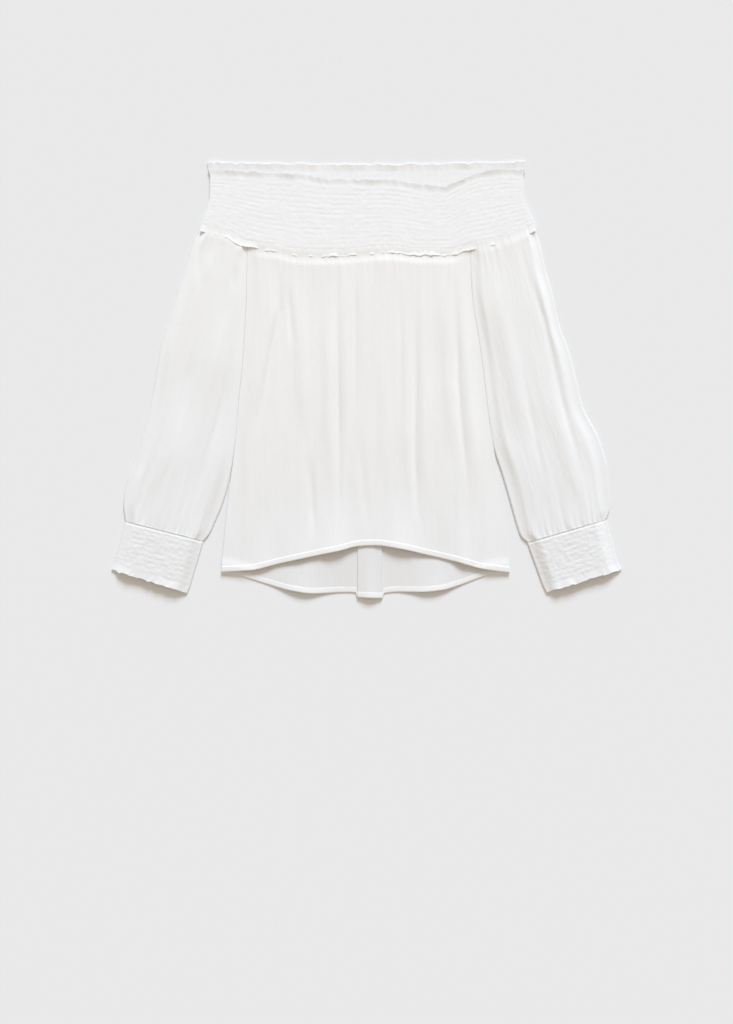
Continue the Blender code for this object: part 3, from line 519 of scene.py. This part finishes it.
# Painted shade: the colour that the body's and sleeves' cloth is multiplied by at the hem, darker
# there as if less window light reached it.
HEM_PAINTED_SHADE = (0.945, 0.952, 0.965)
BOX_FOLD_LEFT = -11.7
BOX_FOLD_RIGHT = 20.3
BOX_FOLD_RISE = 1.7
BOX_FOLD_TOP = -130.0
BOX_FOLD_EDGE = 0.3
SEAM_LIFT = 1.2
LIFT_DEPTH = 80.0

# Lower edges of the panels. Rows: x, y
FRONT_HEM_EDGE = [
    (-188.5, -249.6), (-153.4, -247.6), (-109.7, -237.9), (-66.3, -228.5), (-33.2, -221.6),
    (-11.2, -216.2), (10.4, -215.0), (43.6, -219.4), (79.0, -227.5), (114.7, -235.8),
    (152.9, -246.0), (185.9, -250.4),
]
BACK_HEM_EDGE = [
    (-188.5, -249.6), (-175.5, -251.5), (-148.2, -259.4), (-120.9, -267.8), (-98.8, -273.7),
    (-68.9, -277.6), (-27.6, -276.0), (-14.1, -276.6), (-12.1, -282.4), (20.7, -283.6),
    (22.7, -277.4), (43.6, -275.4), (70.9, -275.6), (98.3, -273.0), (122.9, -266.0),
    (144.7, -258.1), (163.8, -252.0), (185.9, -250.4),
]
# Armhole and side seams. Rows: y, x
SIDE_LEFT = [
    (182.0, ARMHOLE_LEFT), (101.0, -156.0), (65.0, -157.8), (18.0, -161.0), (-26.0, -165.5),
    (-78.0, -170.0), (-119.0, -175.0), (-165.0, -180.7), (-210.0, -185.0), (-250.4, -188.5),
]
SIDE_RIGHT = [
    (182.0, ARMHOLE_RIGHT), (117.0, 136.5), (98.0, 138.2), (65.0, 143.4), (13.0, 151.0),
    (-26.0, 155.6), (-52.0, 158.8), (-91.0, 165.4), (-125.0, 170.8), (-165.0, 178.1),
    (-210.0, 182.5), (-250.4, 185.9),
]
# Creases. Columns: points the crease runs through, half width, height (a trough is below zero)
FRONT_CREASES = [
    ([(-111.8, 166.0), (-113.1, 91.0), (-123.5, 39.0), (-133.9, -26.0), (-141.7, -78.0)], 4.0, -2.2),
    ([(-121.0, 150.0), (-124.0, 80.0), (-134.0, 20.0), (-147.0, -60.0)], 8.0, 1.9),
    ([(-100.1, 125.0), (-99.0, 80.0), (-97.5, 39.0)], 3.5, -1.6),
    ([(-88.0, 140.0), (-84.0, 20.0), (-82.0, -80.0)], 9.0, 1.8),
    ([(-37.7, 153.4), (-37.7, -7.8), (-35.1, -202.8)], 3.5, -2.2),
    ([(-48.5, 150.0), (-49.0, -20.0), (-46.0, -180.0)], 9.0, 1.9),
    ([(-27.0, 150.0), (-28.0, 0.0), (-25.0, -150.0)], 6.0, 1.2),
    ([(-74.1, -90.0), (-71.0, -150.0), (-67.6, -219.5)], 4.5, -1.7),
    ([(-15.0, 150.0), (-14.0, 60.0), (-16.0, -60.0)], 3.0, -1.0),
    ([(44.2, 130.0), (44.2, -40.0)], 4.0, -1.1),
    ([(65.0, 120.0), (64.0, 20.0), (62.4, -104.0), (66.3, -169.0), (79.3, -223.4)], 4.0, -2.0),
    ([(77.0, 130.0), (74.0, -100.0), (82.0, -180.0)], 8.0, 1.9),
    ([(54.0, 100.0), (52.0, -60.0), (55.0, -180.0)], 7.0, 1.2),
    ([(110.5, 150.0), (117.0, 104.0), (118.3, 0.0), (123.5, -65.0), (131.3, -130.0), (132.6, -180.0)],
     3.8, -2.2),
    ([(102.0, 140.0), (106.0, 0.0), (113.0, -110.0)], 8.0, 1.8),
    ([(127.0, 90.0), (133.0, -20.0), (144.0, -150.0)], 7.0, 1.4),
    ([(-140.0, 60.0), (-150.0, -60.0), (-160.0, -180.0)], 9.0, 1.2),
    ([(-10.0, -60.0), (-4.0, -140.0), (2.0, -205.0)], 5.0, -0.9),
    ([(22.0, 60.0), (24.0, -60.0), (20.0, -170.0)], 7.0, 1.1),
]
BACK_CREASES = [
    ([(-60.0, -170.0), (-62.0, -225.0), (-58.0, -272.0)], 4.5, 1.0),
    ([(62.0, -180.0), (60.0, -230.0), (66.0, -270.0)], 5.0, 1.0),
    ([(-100.0, -230.0), (-104.0, -262.0)], 4.0, 0.8),
    ([(110.0, -225.0), (114.0, -260.0)], 4.0, 0.8),
]
# Where a hem stands off what it lies on. Columns: x of the middle, half width, rise
FRONT_HEM_LIFTS = [
    (-136.0, 14.0, 1.8), (-88.0, 20.0, 2.4), (-42.0, 22.0, 4.2), (45.0, 27.0, 4.4),
    (126.0, 13.0, 2.8),
]
BACK_HEM_LIFTS = [(-84.0, 26.0, 4.4), (4.3, 12.0, 3.4), (85.0, 27.0, 4.4)]


def hem_lift(x, y, hem_table, lifts):
    """Rise of a panel near its hem, which waves along its length and dies out above it."""
    from_edge = y - read_curve(hem_table, x)
    total = np.zeros_like(x)
    for middle, width, rise in lifts:
        total += rise * np.exp(-(((x - middle) / width) ** 2))
    return total * np.clip(1.0 - from_edge / LIFT_DEPTH, 0.0, 1.0) ** 1.7


def crease_height(x, y, creases):
    """Add up troughs and ridges at points of the plane; each fades out at its two ends."""
    total = np.zeros_like(x)
    for path, width, height in creases:
        way = [math.dist(a, b) for a, b in zip(path, path[1:])]
        length = sum(way)
        best = np.full_like(x, 1e9)
        along = np.zeros_like(x)
        walked = 0.0
        for (ax, ay), (bx, by), step in zip(path, path[1:], way):
            t = np.clip(((x - ax) * (bx - ax) + (y - ay) * (by - ay)) / step**2, 0.0, 1.0)
            off = np.hypot(x - ax - t * (bx - ax), y - ay - t * (by - ay))
            nearer = off < best
            best = np.where(nearer, off, best)
            along = np.where(nearer, walked + t * step, along)
            walked += step
        fade = ease(along / (0.42 * length)) * ease((length - along) / (0.42 * length))
        uneven = 0.75 + 0.5 * soft_noise(along, 0.0 * along, 70.0, 1.0, int(abs(path[0][0])))
        total += height * fade * uneven * np.exp(-((best / width) ** 2)) * min(1.0, length / 80.0)
    return total


def gathers(across, down, start, length, count, seed, rise, reach):
    """Small folds that start at a gathered seam and die out below it, each of its own length."""
    rng = np.random.default_rng(seed)
    total = np.zeros_like(across)
    for k in range(count):
        spot = start + (k + 0.5 + 0.6 * (rng.random() - 0.5)) * length / count
        width = rng.uniform(1.5, 2.9)
        fade = reach * rng.uniform(0.3, 1.8)
        height = rise * rng.uniform(0.5, 1.15)
        lean = rng.uniform(-0.07, 0.07)
        grow = 1.0 + 0.015 * np.clip(down, 0, 120)
        off = (across - spot - lean * down) / (width * grow)
        total += height * np.exp(-off * off - (np.clip(down, 0, None) / fade) ** 1.5)
    return total


def yoke_seam_y(x):
    """The seam where panels and sleeves meet the yoke."""
    return read_curve(YOKE_LOWER_EDGE, x) + FRILL_HEIGHT


def body_plan(downs, shares, hem_table, past=0.0):
    """Where the rows of a panel lie, from side seam to side seam; past goes beyond the hem."""
    share = np.asarray(shares)[None, :]
    down = np.asarray(downs, float)[:, None]
    past = np.asarray(past, float).reshape(-1, 1)
    sides = []
    for x, table, hem in (
        (ARMHOLE_LEFT, SIDE_LEFT, hem_table[0]), (ARMHOLE_RIGHT, SIDE_RIGHT, hem_table[-1]),
    ):
        side_y = (1 - down) * yoke_seam_y(x) + down * (hem[1] + HEM_HEIGHT) - past
        sides.append(read_curve(table, side_y))
    x = sides[0] + share * (sides[1] - sides[0])
    top_y = yoke_seam_y(ARMHOLE_LEFT + share * (ARMHOLE_RIGHT - ARMHOLE_LEFT))
    y = (1 - down) * top_y + down * (read_curve(hem_table, x) + HEM_HEIGHT) - past
    return x, y, share + 0.0 * down


def box_fold(x, y):
    """The box fold at the middle of the back's hem: one flat raised strip with crisp edges."""
    left = ease((x - BOX_FOLD_LEFT + BOX_FOLD_EDGE) / (2 * BOX_FOLD_EDGE))
    right = ease((BOX_FOLD_RIGHT + BOX_FOLD_EDGE - x) / (2 * BOX_FOLD_EDGE))
    return BOX_FOLD_RISE * left * right * ease((BOX_FOLD_TOP - y) / 40.0)


def fold_shares(columns):
    """Columns of the back, closer together at the two edges of its box fold."""
    width = BACK_HEM_EDGE[-1][0] - BACK_HEM_EDGE[0][0]
    near = BOX_FOLD_EDGE * np.array([-8.0, -4.0, -2.0, -1.0, 0.0, 1.0, 2.0, 4.0, 8.0])
    edges = (BOX_FOLD_LEFT, BOX_FOLD_RIGHT)
    extra = [(edge - BACK_HEM_EDGE[0][0] + near) / width for edge in edges]
    return np.unique(np.concatenate([np.linspace(0.0, 1.0, columns + 1), *extra]))


def front_top(x, y, share):
    """Height of the front's outer face."""
    below_seam = yoke_seam_y(x) - y
    near_hem = ease((read_curve(BACK_HEM_EDGE, x) + HEM_HEIGHT + 14.0 - y) / 12.0)
    lowest = 1.3 + 1.2 * near_hem + 1.3 * ease(1.3 - below_seam / 12.0)
    round_up = ease(share / 0.08) * ease((1 - share) / 0.08)
    loft = FRONT_LOFT * round_up * (0.7 + 0.6 * soft_noise(x, y, 60.0, 90.0, 71))
    open_up = ease((below_seam - 6.0) / 14.0)
    seam = ARMHOLE_RIGHT - ARMHOLE_LEFT
    folds = gathers(x, below_seam, ARMHOLE_LEFT, seam, FRONT_GATHERS, 73, 1.1, 24.0)
    folds = folds * (0.35 + 0.65 * open_up)
    creased = crease_height(x, y, FRONT_CREASES) * ease((below_seam - 4.0) / 30.0)
    edge = ease(share / 0.03) * ease((1 - share) / 0.03)
    lying = lowest + loft * (0.25 + 0.75 * open_up) + edge * (folds + creased)
    lying = np.maximum(lying + crinkle(x, y, 75, 0.4), lowest)
    return lying + WALL + hem_lift(x, y, FRONT_HEM_EDGE, FRONT_HEM_LIFTS)


downs = np.linspace(0.0, 1.0, FRONT_ROWS + 1) ** 1.12
x, y, share = body_plan(downs, np.linspace(0.0, 1.0, FRONT_COLUMNS + 1), FRONT_HEM_EDGE)
z = front_top(x, y, share)
front = sheet_mesh("front_cloth", rows_of(x, y, z), rows_of(x[::2], y[::2], z[::2] - WALL))

downs = np.linspace(0.0, 1.0, BACK_ROWS + 1)
x, y, share = body_plan(downs, fold_shares(BACK_COLUMNS), BACK_HEM_EDGE)
shows = ease((read_curve(FRONT_HEM_EDGE, x) + 26.0 - y) / 16.0)
lift = SEAM_LIFT * ease(1.4 - (yoke_seam_y(x) - y) / 12.0)
lift = lift + hem_lift(x, y, BACK_HEM_EDGE, BACK_HEM_LIFTS)
z = WALL + 0.1 + lift + box_fold(x, y)
creased = 0.6 * np.maximum(crease_height(x, y, BACK_CREASES), 0.0)
z = z + shows * (crinkle(x, y, 77, 0.3) + creased)
back = sheet_mesh("back_cloth", rows_of(x, y, z), rows_of(x[::3], y[::3], lift[::3]))

# The front's cloth darkens towards the hem with painted shade.
body_gauze = gauze("body_gauze", BODY_COLOUR, BODY_THIN, hem_painted_shade=HEM_PAINTED_SHADE)
# The back's cloth is a darker copy of the body's gauze: painted shade.
painted_shade_inside_gauze = gauze("painted_shade_inside_gauze", INSIDE_PAINTED_SHADE_COLOUR, INSIDE_PAINTED_SHADE_THIN)
dress(front, body_gauze, ("front_panel",))
dress(back, painted_shade_inside_gauze, ("back_panel",))

# The hems: each panel's edge turned up twice, 7 mm deep. The front's turn is on its inside, and
# the back's turn shows. The stitches that hold them are too small to show and aren't modelled.
HEM_WALL = 1.35
HEM_ROUND = 0.5
HEM_TUCK_DROP = 0.15
HEM_COLUMNS = 260
HEM_ROWS = 12
HEM_TUCK = 0.8
HEM_COLOUR = (0.82, 0.817, 0.81)
HEM_THIN = (0.81, 0.807, 0.80)


def hem_mesh(name, table, front_side):
    """A rounded, slightly puckered band along a panel's edge."""
    past = np.concatenate([[-HEM_TUCK, 0.0], np.linspace(0.6, HEM_HEIGHT, HEM_ROWS - 2)])
    even = np.linspace(0.0, 1.0, HEM_COLUMNS + 1)
    shares = even if front_side else fold_shares(HEM_COLUMNS)
    x, y, share = body_plan(np.ones(HEM_ROWS), shares, table, past)
    band = np.clip(past[:, None] / HEM_HEIGHT, 0.0, 1.0) + 0.0 * x
    rounding = np.sqrt(np.clip(1 - band**6, 0.0, 1.0))
    tucked = past[:, None] < 0
    pucker = 0.12 * soft_noise(x, y, 3.2, 30.0, 81) + 0.15 * soft_noise(x, y, 11.0, 30.0, 82)
    rise = HEM_WALL - HEM_ROUND + (HEM_ROUND + pucker) * rounding
    rise = np.where(tucked, WALL - HEM_TUCK_DROP, rise)
    if front_side:
        low = front_top(x, y, share) - WALL
    else:
        low = hem_lift(x, y, table, BACK_HEM_LIFTS)
        rise = rise + box_fold(x, y)
    ends = [0, -1]
    return sheet_mesh(name, rows_of(x, y, low + rise), rows_of(x[ends], y[ends], low[ends]))


hem_gauze = gauze("hem_gauze", HEM_COLOUR, HEM_THIN, 0.0, 1.2)
front_hem = hem_mesh("front_hem_band", FRONT_HEM_EDGE, True)
back_hem = hem_mesh("back_hem_band", BACK_HEM_EDGE, False)
dress(front_hem, hem_gauze, ("front_hem",))
dress(back_hem, hem_gauze, ("back_hem",))

# The sleeves: one wide tube each, set to the yoke and down the body's side, slanting out, and
# gathered into its cuff. They lie flat, with long soft creases.
SLEEVE_COLUMNS = 72
SLEEVE_STEPS = 130
SLEEVE_LOFT = 2.6
SLEEVE_COLOUR = (0.84, 0.835, 0.825)
SLEEVE_THIN = (0.825, 0.818, 0.805)
FOLD_EDGE = 0.9
INNER_EDGE = 1.8
TUBE_LOWEST = 2 * WALL + 0.3
CREASE_SHARE = 0.6
SEAM_RINGS = 6
SLEEVE_TURN = math.radians(15.0)

# Sleeve edges. Rows: y, x
SLEEVE_OUTER_LEFT = [
    (203.5, YOKE_CORNER_LEFT), (192.4, -215.8), (182.0, -222.3), (143.0, -235.3), (106.6, -247.0),
    (75.4, -257.4), (39.0, -267.8), (-20.8, -278.2), (-104.0, -300.3), (-130.0, -310.7),
    (-162.5, -315.9), (-183.3, -313.3),
]
SLEEVE_INNER_LEFT = [
    (203.5, ARMHOLE_LEFT), (182.0, ARMHOLE_LEFT), (101.0, -156.0), (65.0, -157.8), (18.0, -161.0),
    (-26.0, -165.5), (-78.0, -170.0), (-119.0, -176.0), (-145.0, -182.0), (-165.0, -188.5),
    (-185.0, -197.0), (-200.0, -204.0), (-208.8, -211.5),
]
SLEEVE_OUTER_RIGHT = [
    (203.5, YOKE_CORNER_RIGHT), (192.4, 219.7), (174.2, 226.2), (143.0, 232.7), (117.0, 240.5),
    (71.5, 250.9), (39.0, 262.6), (5.2, 271.7), (-33.8, 281.0), (-78.0, 302.9),
    (-117.0, 313.3), (-166.4, 315.9), (-180.7, 312.0),
]
SLEEVE_INNER_RIGHT = [
    (203.5, ARMHOLE_RIGHT), (182.0, ARMHOLE_RIGHT), (117.0, 136.5), (98.0, 138.2), (65.0, 143.4),
    (13.0, 151.0), (-26.0, 155.6), (-52.0, 158.8), (-91.0, 166.0), (-120.0, 175.5),
    (-156.0, 186.0), (-190.0, 195.7), (-203.0, 200.5), (-210.8, 208.5),
]
# Sections of a sleeve. Columns: part of the way down, y of the outer edge, y of the inner edge
SLEEVE_ROWS_LEFT = [
    (0.0, 203.5, 181.0), (0.025, 191.5, 171.0), (0.1, 164.0, 140.0), (0.22, 120.0, 97.0),
    (0.4, 46.0, 18.0), (0.52, 0.0, -27.0), (0.66, -56.0, -77.0), (0.78, -104.0, -119.0),
    (0.92, -156.0, -180.0), (1.0, -183.3, -208.8),
]
SLEEVE_ROWS_RIGHT = [
    (0.0, 203.5, 177.0), (0.025, 191.5, 168.0), (0.1, 164.0, 138.0), (0.22, 120.0, 95.0),
    (0.4, 46.0, 15.0), (0.52, 0.0, -29.0), (0.66, -52.0, -79.0), (0.78, -100.0, -121.0),
    (0.92, -154.0, -182.0), (1.0, -180.7, -210.8),
]
SLEEVE_CREASES_LEFT = [
    ([(-165.0, 93.6), (-175.5, 52.0), (-178.0, 13.0), (-186.0, -26.0), (-206.7, -104.0),
      (-217.0, -140.0), (-232.7, -182.0)], 4.2, -2.6),
    ([(-188.0, 120.0), (-194.0, 40.0), (-213.0, -60.0), (-232.0, -140.0)], 10.0, 2.3),
    ([(-212.0, 190.0), (-217.0, 160.0), (-222.3, 125.0)], 4.5, -1.9),
    ([(-204.0, 170.0), (-210.0, 120.0)], 6.0, 1.4),
    ([(-236.6, 10.0), (-262.6, -110.0), (-284.7, -178.0)], 10.0, 2.2),
    ([(-222.0, 60.0), (-238.0, -20.0), (-250.0, -90.0)], 4.5, -1.3),
    ([(-170.0, 150.0), (-172.0, 110.0)], 3.6, -1.6),
    ([(-250.0, -90.0), (-270.0, -150.0), (-276.0, -178.0)], 3.6, -1.3),
]
SLEEVE_CREASES_RIGHT = [
    ([(193.7, 190.0), (214.5, 127.4), (232.7, 72.8), (253.5, -23.4), (274.3, -101.4),
      (292.5, -168.0)], 4.2, -2.5),
    ([(166.0, 150.0), (180.0, 60.0), (196.0, -30.0), (214.0, -120.0)], 10.0, 2.2),
    ([(235.3, -6.0), (266.5, -118.5), (279.5, -178.0)], 9.0, 2.2),
    ([(146.0, 95.0), (152.0, 60.0), (160.0, -10.0), (176.0, -90.0)], 4.2, -1.8),
    ([(222.0, 150.0), (238.0, 90.0), (258.0, 0.0)], 8.0, 1.6),
    ([(200.0, 20.0), (216.0, -60.0), (236.0, -150.0)], 4.2, -1.3),
    ([(262.0, -120.0), (268.0, -150.0), (270.0, -180.0)], 3.6, -1.3),
]


def tube_mesh(name, outer, inner):
    """A flattened tube, open at both ends. Each ring is an upper and a lower row of points."""
    places, faces = [], []

    def number(rings):
        numbered = []
        for upper, lower in rings:
            row = add_rows(places, [upper])[0]
            middle = add_rows(places, [lower[1:-1]])[0]
            numbered.append((row, [row[0], *middle, row[-1]]))
        return numbered

    outer, inner = number(outer), number(inner)
    for rings in (outer, inner):
        for first, second in zip(rings, rings[1:]):
            join_rows(places, faces, first[0], second[0])
            join_rows(places, faces, first[1], second[1])
    for end in (0, -1):
        join_rows(places, faces, outer[end][0], inner[end][0])
        join_rows(places, faces, outer[end][1], inner[end][1])
    return finish_cloth(name, places, faces)


def tube_ring(left, right, shares, height, lift, wobble=None):
    """Outer and inner ring of a flattened tube between two edge points."""
    left, right = np.array(left, float), np.array(right, float)
    width = math.dist(left, right)
    across = (right - left) / width
    along = np.array([across[1], -across[0]])
    middle = lift + TUBE_LOWEST / 2
    wobble = np.zeros(len(shares)) if wobble is None else wobble

    def spot(distance, z, slip=0.0):
        flat = left + across * distance + along * slip
        return (flat[0], flat[1], z)

    def ring(edge, inset, drop, floor, step):
        upper = [spot(edge, middle)]
        for share, z, slip in list(zip(shares, height, wobble))[::step]:
            upper.append(spot(inset + share * (width - 2 * inset), lift + z - drop, slip))
        upper.append(spot(width - edge, middle))
        lower = [upper[0]]
        for share in (0.0, 0.33, 0.67, 1.0):
            lower.append(spot(inset + share * (width - 2 * inset), floor))
        lower.append(upper[-1])
        return upper, lower

    outer = ring(0.0, FOLD_EDGE, 0.0, lift, 1)
    return outer, ring(INNER_EDGE, FOLD_EDGE + 1.0, WALL, lift + WALL, 3)


def sleeve_mesh(name, rows, outer_table, inner_table, creases, seed):
    """A sleeve's tube, with gathers at the yoke and at the cuff and creases between."""
    shares = np.linspace(0.0, 1.0, SLEEVE_COLUMNS + 1)
    round_up = ease(shares / 0.14) * ease((1 - shares) / 0.14)
    lefts, rights = [], []
    for down in np.linspace(0.0, 1.0, SLEEVE_STEPS + 1):
        outer_y = float(read_curve([(row[0], row[1]) for row in rows], down))
        inner_y = float(read_curve([(row[0], row[2]) for row in rows], down))
        outer_x = float(read_curve(outer_table, outer_y))
        inner_x = float(read_curve(inner_table, inner_y))
        ends = sorted([(outer_x, outer_y), (inner_x, inner_y)])
        lefts.append(ends[0])
        rights.append(ends[1])
    lefts, rights = np.array(lefts), np.array(rights)
    x = lefts[:, :1] + shares * (rights[:, :1] - lefts[:, :1])
    y = lefts[:, 1:] + shares * (rights[:, 1:] - lefts[:, 1:])
    to_seam = ease(1.0 - np.arange(len(y)) / SEAM_RINGS)[:, None]
    y = y + (yoke_seam_y(x) - SEAM_GAP - y[:1]) * to_seam
    from_yoke = np.clip(yoke_seam_y(x) - y, 0.0, None)
    middle = 0.5 * (lefts + rights)
    steps = np.hypot(*np.diff(middle, axis=0).T)
    walked = np.concatenate([[0.0], np.cumsum(steps)])[:, None] + 0.0 * x
    to_cuff = walked[-1] - walked
    width = np.hypot(*(rights - lefts).T)[:, None]
    across = (shares - 0.5) * width
    loft = SLEEVE_LOFT * round_up * (0.6 + 0.8 * soft_noise(across, walked, 34.0, 70.0, seed))
    folds = gathers(across, to_cuff, -54.0, 108.0, 16, seed + 1, 1.3, 34.0)
    folds = folds + gathers(across, from_yoke, -45.0, 90.0, 13, seed + 2, 0.8, 24.0)
    creased = CREASE_SHARE * crease_height(x, y, creases) * ease(from_yoke / 25.0)
    covered = ease(1.35 - from_yoke / 12.0)
    height = TUBE_LOWEST + (loft + folds) * (1 - 0.75 * covered) * round_up
    fine = crinkle(across, walked, seed + 3, 0.65) * (0.3 + 0.7 * round_up)
    height = np.maximum(height + creased * round_up + fine, TUBE_LOWEST)
    outer, inner = [], []
    for k in range(SLEEVE_STEPS + 1):
        lift = SEAM_LIFT * float(ease(1.4 - (from_yoke[k].mean()) / 12.0))
        outside, inside = tube_ring(lefts[k], rights[k], shares, height[k], lift)
        if k < SEAM_RINGS:
            for row in (*outside, *inside):
                bend_to_seam(row, k / SEAM_RINGS)
        outer.append(outside)
        inner.append(inside)
    return tube_mesh(name, outer, inner)


def bend_to_seam(row, fade):
    """Bring a sleeve's first rings to the yoke's curved seam."""
    first, last = row[0], row[-1]
    gap = SEAM_GAP if fade == 0 else 0.0
    for i, (px, py, pz) in enumerate(row):
        t = (px - first[0]) / (last[0] - first[0])
        ends = yoke_seam_y(first[0]) * (1 - t) + yoke_seam_y(last[0]) * t
        sag = float(yoke_seam_y(px) - ends)
        row[i] = (px, py + (1 - fade) * sag - gap, pz)


for name, rows, outer_table, inner_table, creases, seed, turn in (
    ("sleeve_left", SLEEVE_ROWS_LEFT, SLEEVE_OUTER_LEFT, SLEEVE_INNER_LEFT,
     SLEEVE_CREASES_LEFT, 101, 1),
    ("sleeve_right", SLEEVE_ROWS_RIGHT, SLEEVE_OUTER_RIGHT, SLEEVE_INNER_RIGHT,
     SLEEVE_CREASES_RIGHT, 121, -1),
):
    sleeve = sleeve_mesh(name + "_cloth", rows, outer_table, inner_table, creases, seed)
    thread_turn = turn * SLEEVE_TURN
    # The sleeves' cloth darkens towards the hem with painted shade.
    cloth = gauze(name + "_gauze", SLEEVE_COLOUR, SLEEVE_THIN, thread_turn, 1.0, HEM_PAINTED_SHADE)
    dress(sleeve, cloth, (name,))

# The cuffs: each sleeve's end shirred on elastic threads into a crumbly band, past a fine seam,
# with the last of its cloth standing out as a small frill. A real one is cut at least as wide as
# the sleeve, which is wider than CUFF_CUT says.
CUFF_THREADS = 9
CUFF_COLUMNS = 84
CUFF_STEPS = 60
CUFF_FRILL_STEPS = 9
CUFF_LOFT = 4.2
CUFF_RISE = 0.34
CUFF_SEAM_STEP = 1.6
CUFF_SEAM_DEPTH = 0.8
CUFF_GAP = 0.15
# Painted shade: the cuffs' cloth is painted darker than the sleeves', for the shade among the
# shirring's crumbs.
CUFF_COLOUR_AND_PAINTED_SHADE = (0.79, 0.79, 0.79)
CUFF_THIN_AND_PAINTED_SHADE = (0.775, 0.775, 0.773)
# Cuff corners. Columns: outer x, outer y, inner x, inner y
CUFF_LEFT = {
    "seam": (-313.3, -183.3, -211.5, -208.8),
    "thread": (-327.5, -238.5, -229.0, -267.5),
    "end": (-331.5, -246.5, -232.5, -276.5),
}
CUFF_RIGHT = {
    "seam": (312.0, -180.7, 208.5, -210.8),
    "thread": (326.5, -237.5, 229.0, -267.0),
    "end": (331.5, -246.0, 233.5, -276.0),
}


def cuff_mesh(name, corners, seed):
    """A cuff's tube with its frill."""
    shares = np.linspace(0.0, 1.0, CUFF_COLUMNS + 1)
    round_up = ease(shares / 0.16) * ease((1 - shares) / 0.16)
    seam, thread, end = (np.array(corners[key]) for key in ("seam", "thread", "end"))
    rings = []
    for k in range(CUFF_STEPS + CUFF_FRILL_STEPS + 1):
        down = k / CUFF_STEPS
        if k <= CUFF_STEPS:
            row = seam + (thread - seam) * down
            reach = 0.0
        else:
            reach = (k - CUFF_STEPS) / CUFF_FRILL_STEPS
            row = thread + (end - thread) * reach
        outer_point, inner_point = row[:2], row[2:]
        if k == 0:
            outer_point, inner_point = outer_point + (0, -CUFF_GAP), inner_point + (0, -CUFF_GAP)
        ends = sorted([tuple(outer_point), tuple(inner_point)])
        width = math.dist(*ends)
        across = (shares - 0.5) * width
        level = np.clip(down, 0.0, 1.0) * CUFF_THREADS
        level = level + 0.5 * (soft_noise(across, 0 * across, 14.0, 1.0, seed + 5) - 0.5)
        clear = soft_noise(across, level, 13.0, 1.6, seed + 4)
        pinch = clear * np.exp(-(((level - np.round(level)) / 0.17) ** 2))
        crumbs = soft_noise(across, level, 2.9, 0.42, seed)
        lumps = soft_noise(across, level, 6.0, 0.9, seed + 1)
        height = TUBE_LOWEST + CUFF_LOFT * round_up * (1 - 0.1 * reach)
        crumbs = CUFF_RISE * (1.1 * crumbs + 0.8 * lumps + 0.5 - 0.6 * pinch)
        height = height + crumbs * (0.4 + 0.6 * round_up) * (1 - 0.6 * reach)
        waves = frill_waves(across, np.array(reach), seed + 3)
        height = height + reach * 1.3 * waves * (0.3 + 0.7 * round_up)
        groove = CUFF_SEAM_DEPTH * math.exp(-((down * CUFF_STEPS - CUFF_SEAM_STEP) ** 2))
        height = np.maximum(height - groove, TUBE_LOWEST)
        wobble = reach * (2.4 * soft_noise(across, 0 * across, 5.0, 1.0, seed + 6) - 1.2)
        rings.append(tube_ring(*ends, shares, height, 0.0, wobble))
    return tube_mesh(name, [ring[0] for ring in rings], [ring[1] for ring in rings])


for name, corners, seed, turn in (
    ("cuff_left", CUFF_LEFT, 141, 1),
    ("cuff_right", CUFF_RIGHT, 161, -1),
):
    cuff = cuff_mesh(name + "_cloth", corners, seed)
    # The cuffs' darker colour is painted shade.
    cloth = gauze(name + "_gauze", CUFF_COLOUR_AND_PAINTED_SHADE, CUFF_THIN_AND_PAINTED_SHADE, turn * SLEEVE_TURN, 1.2)
    frill_node = name.replace("cuff", "cuff_frill")
    dress(cuff, cloth, (name, frill_node))
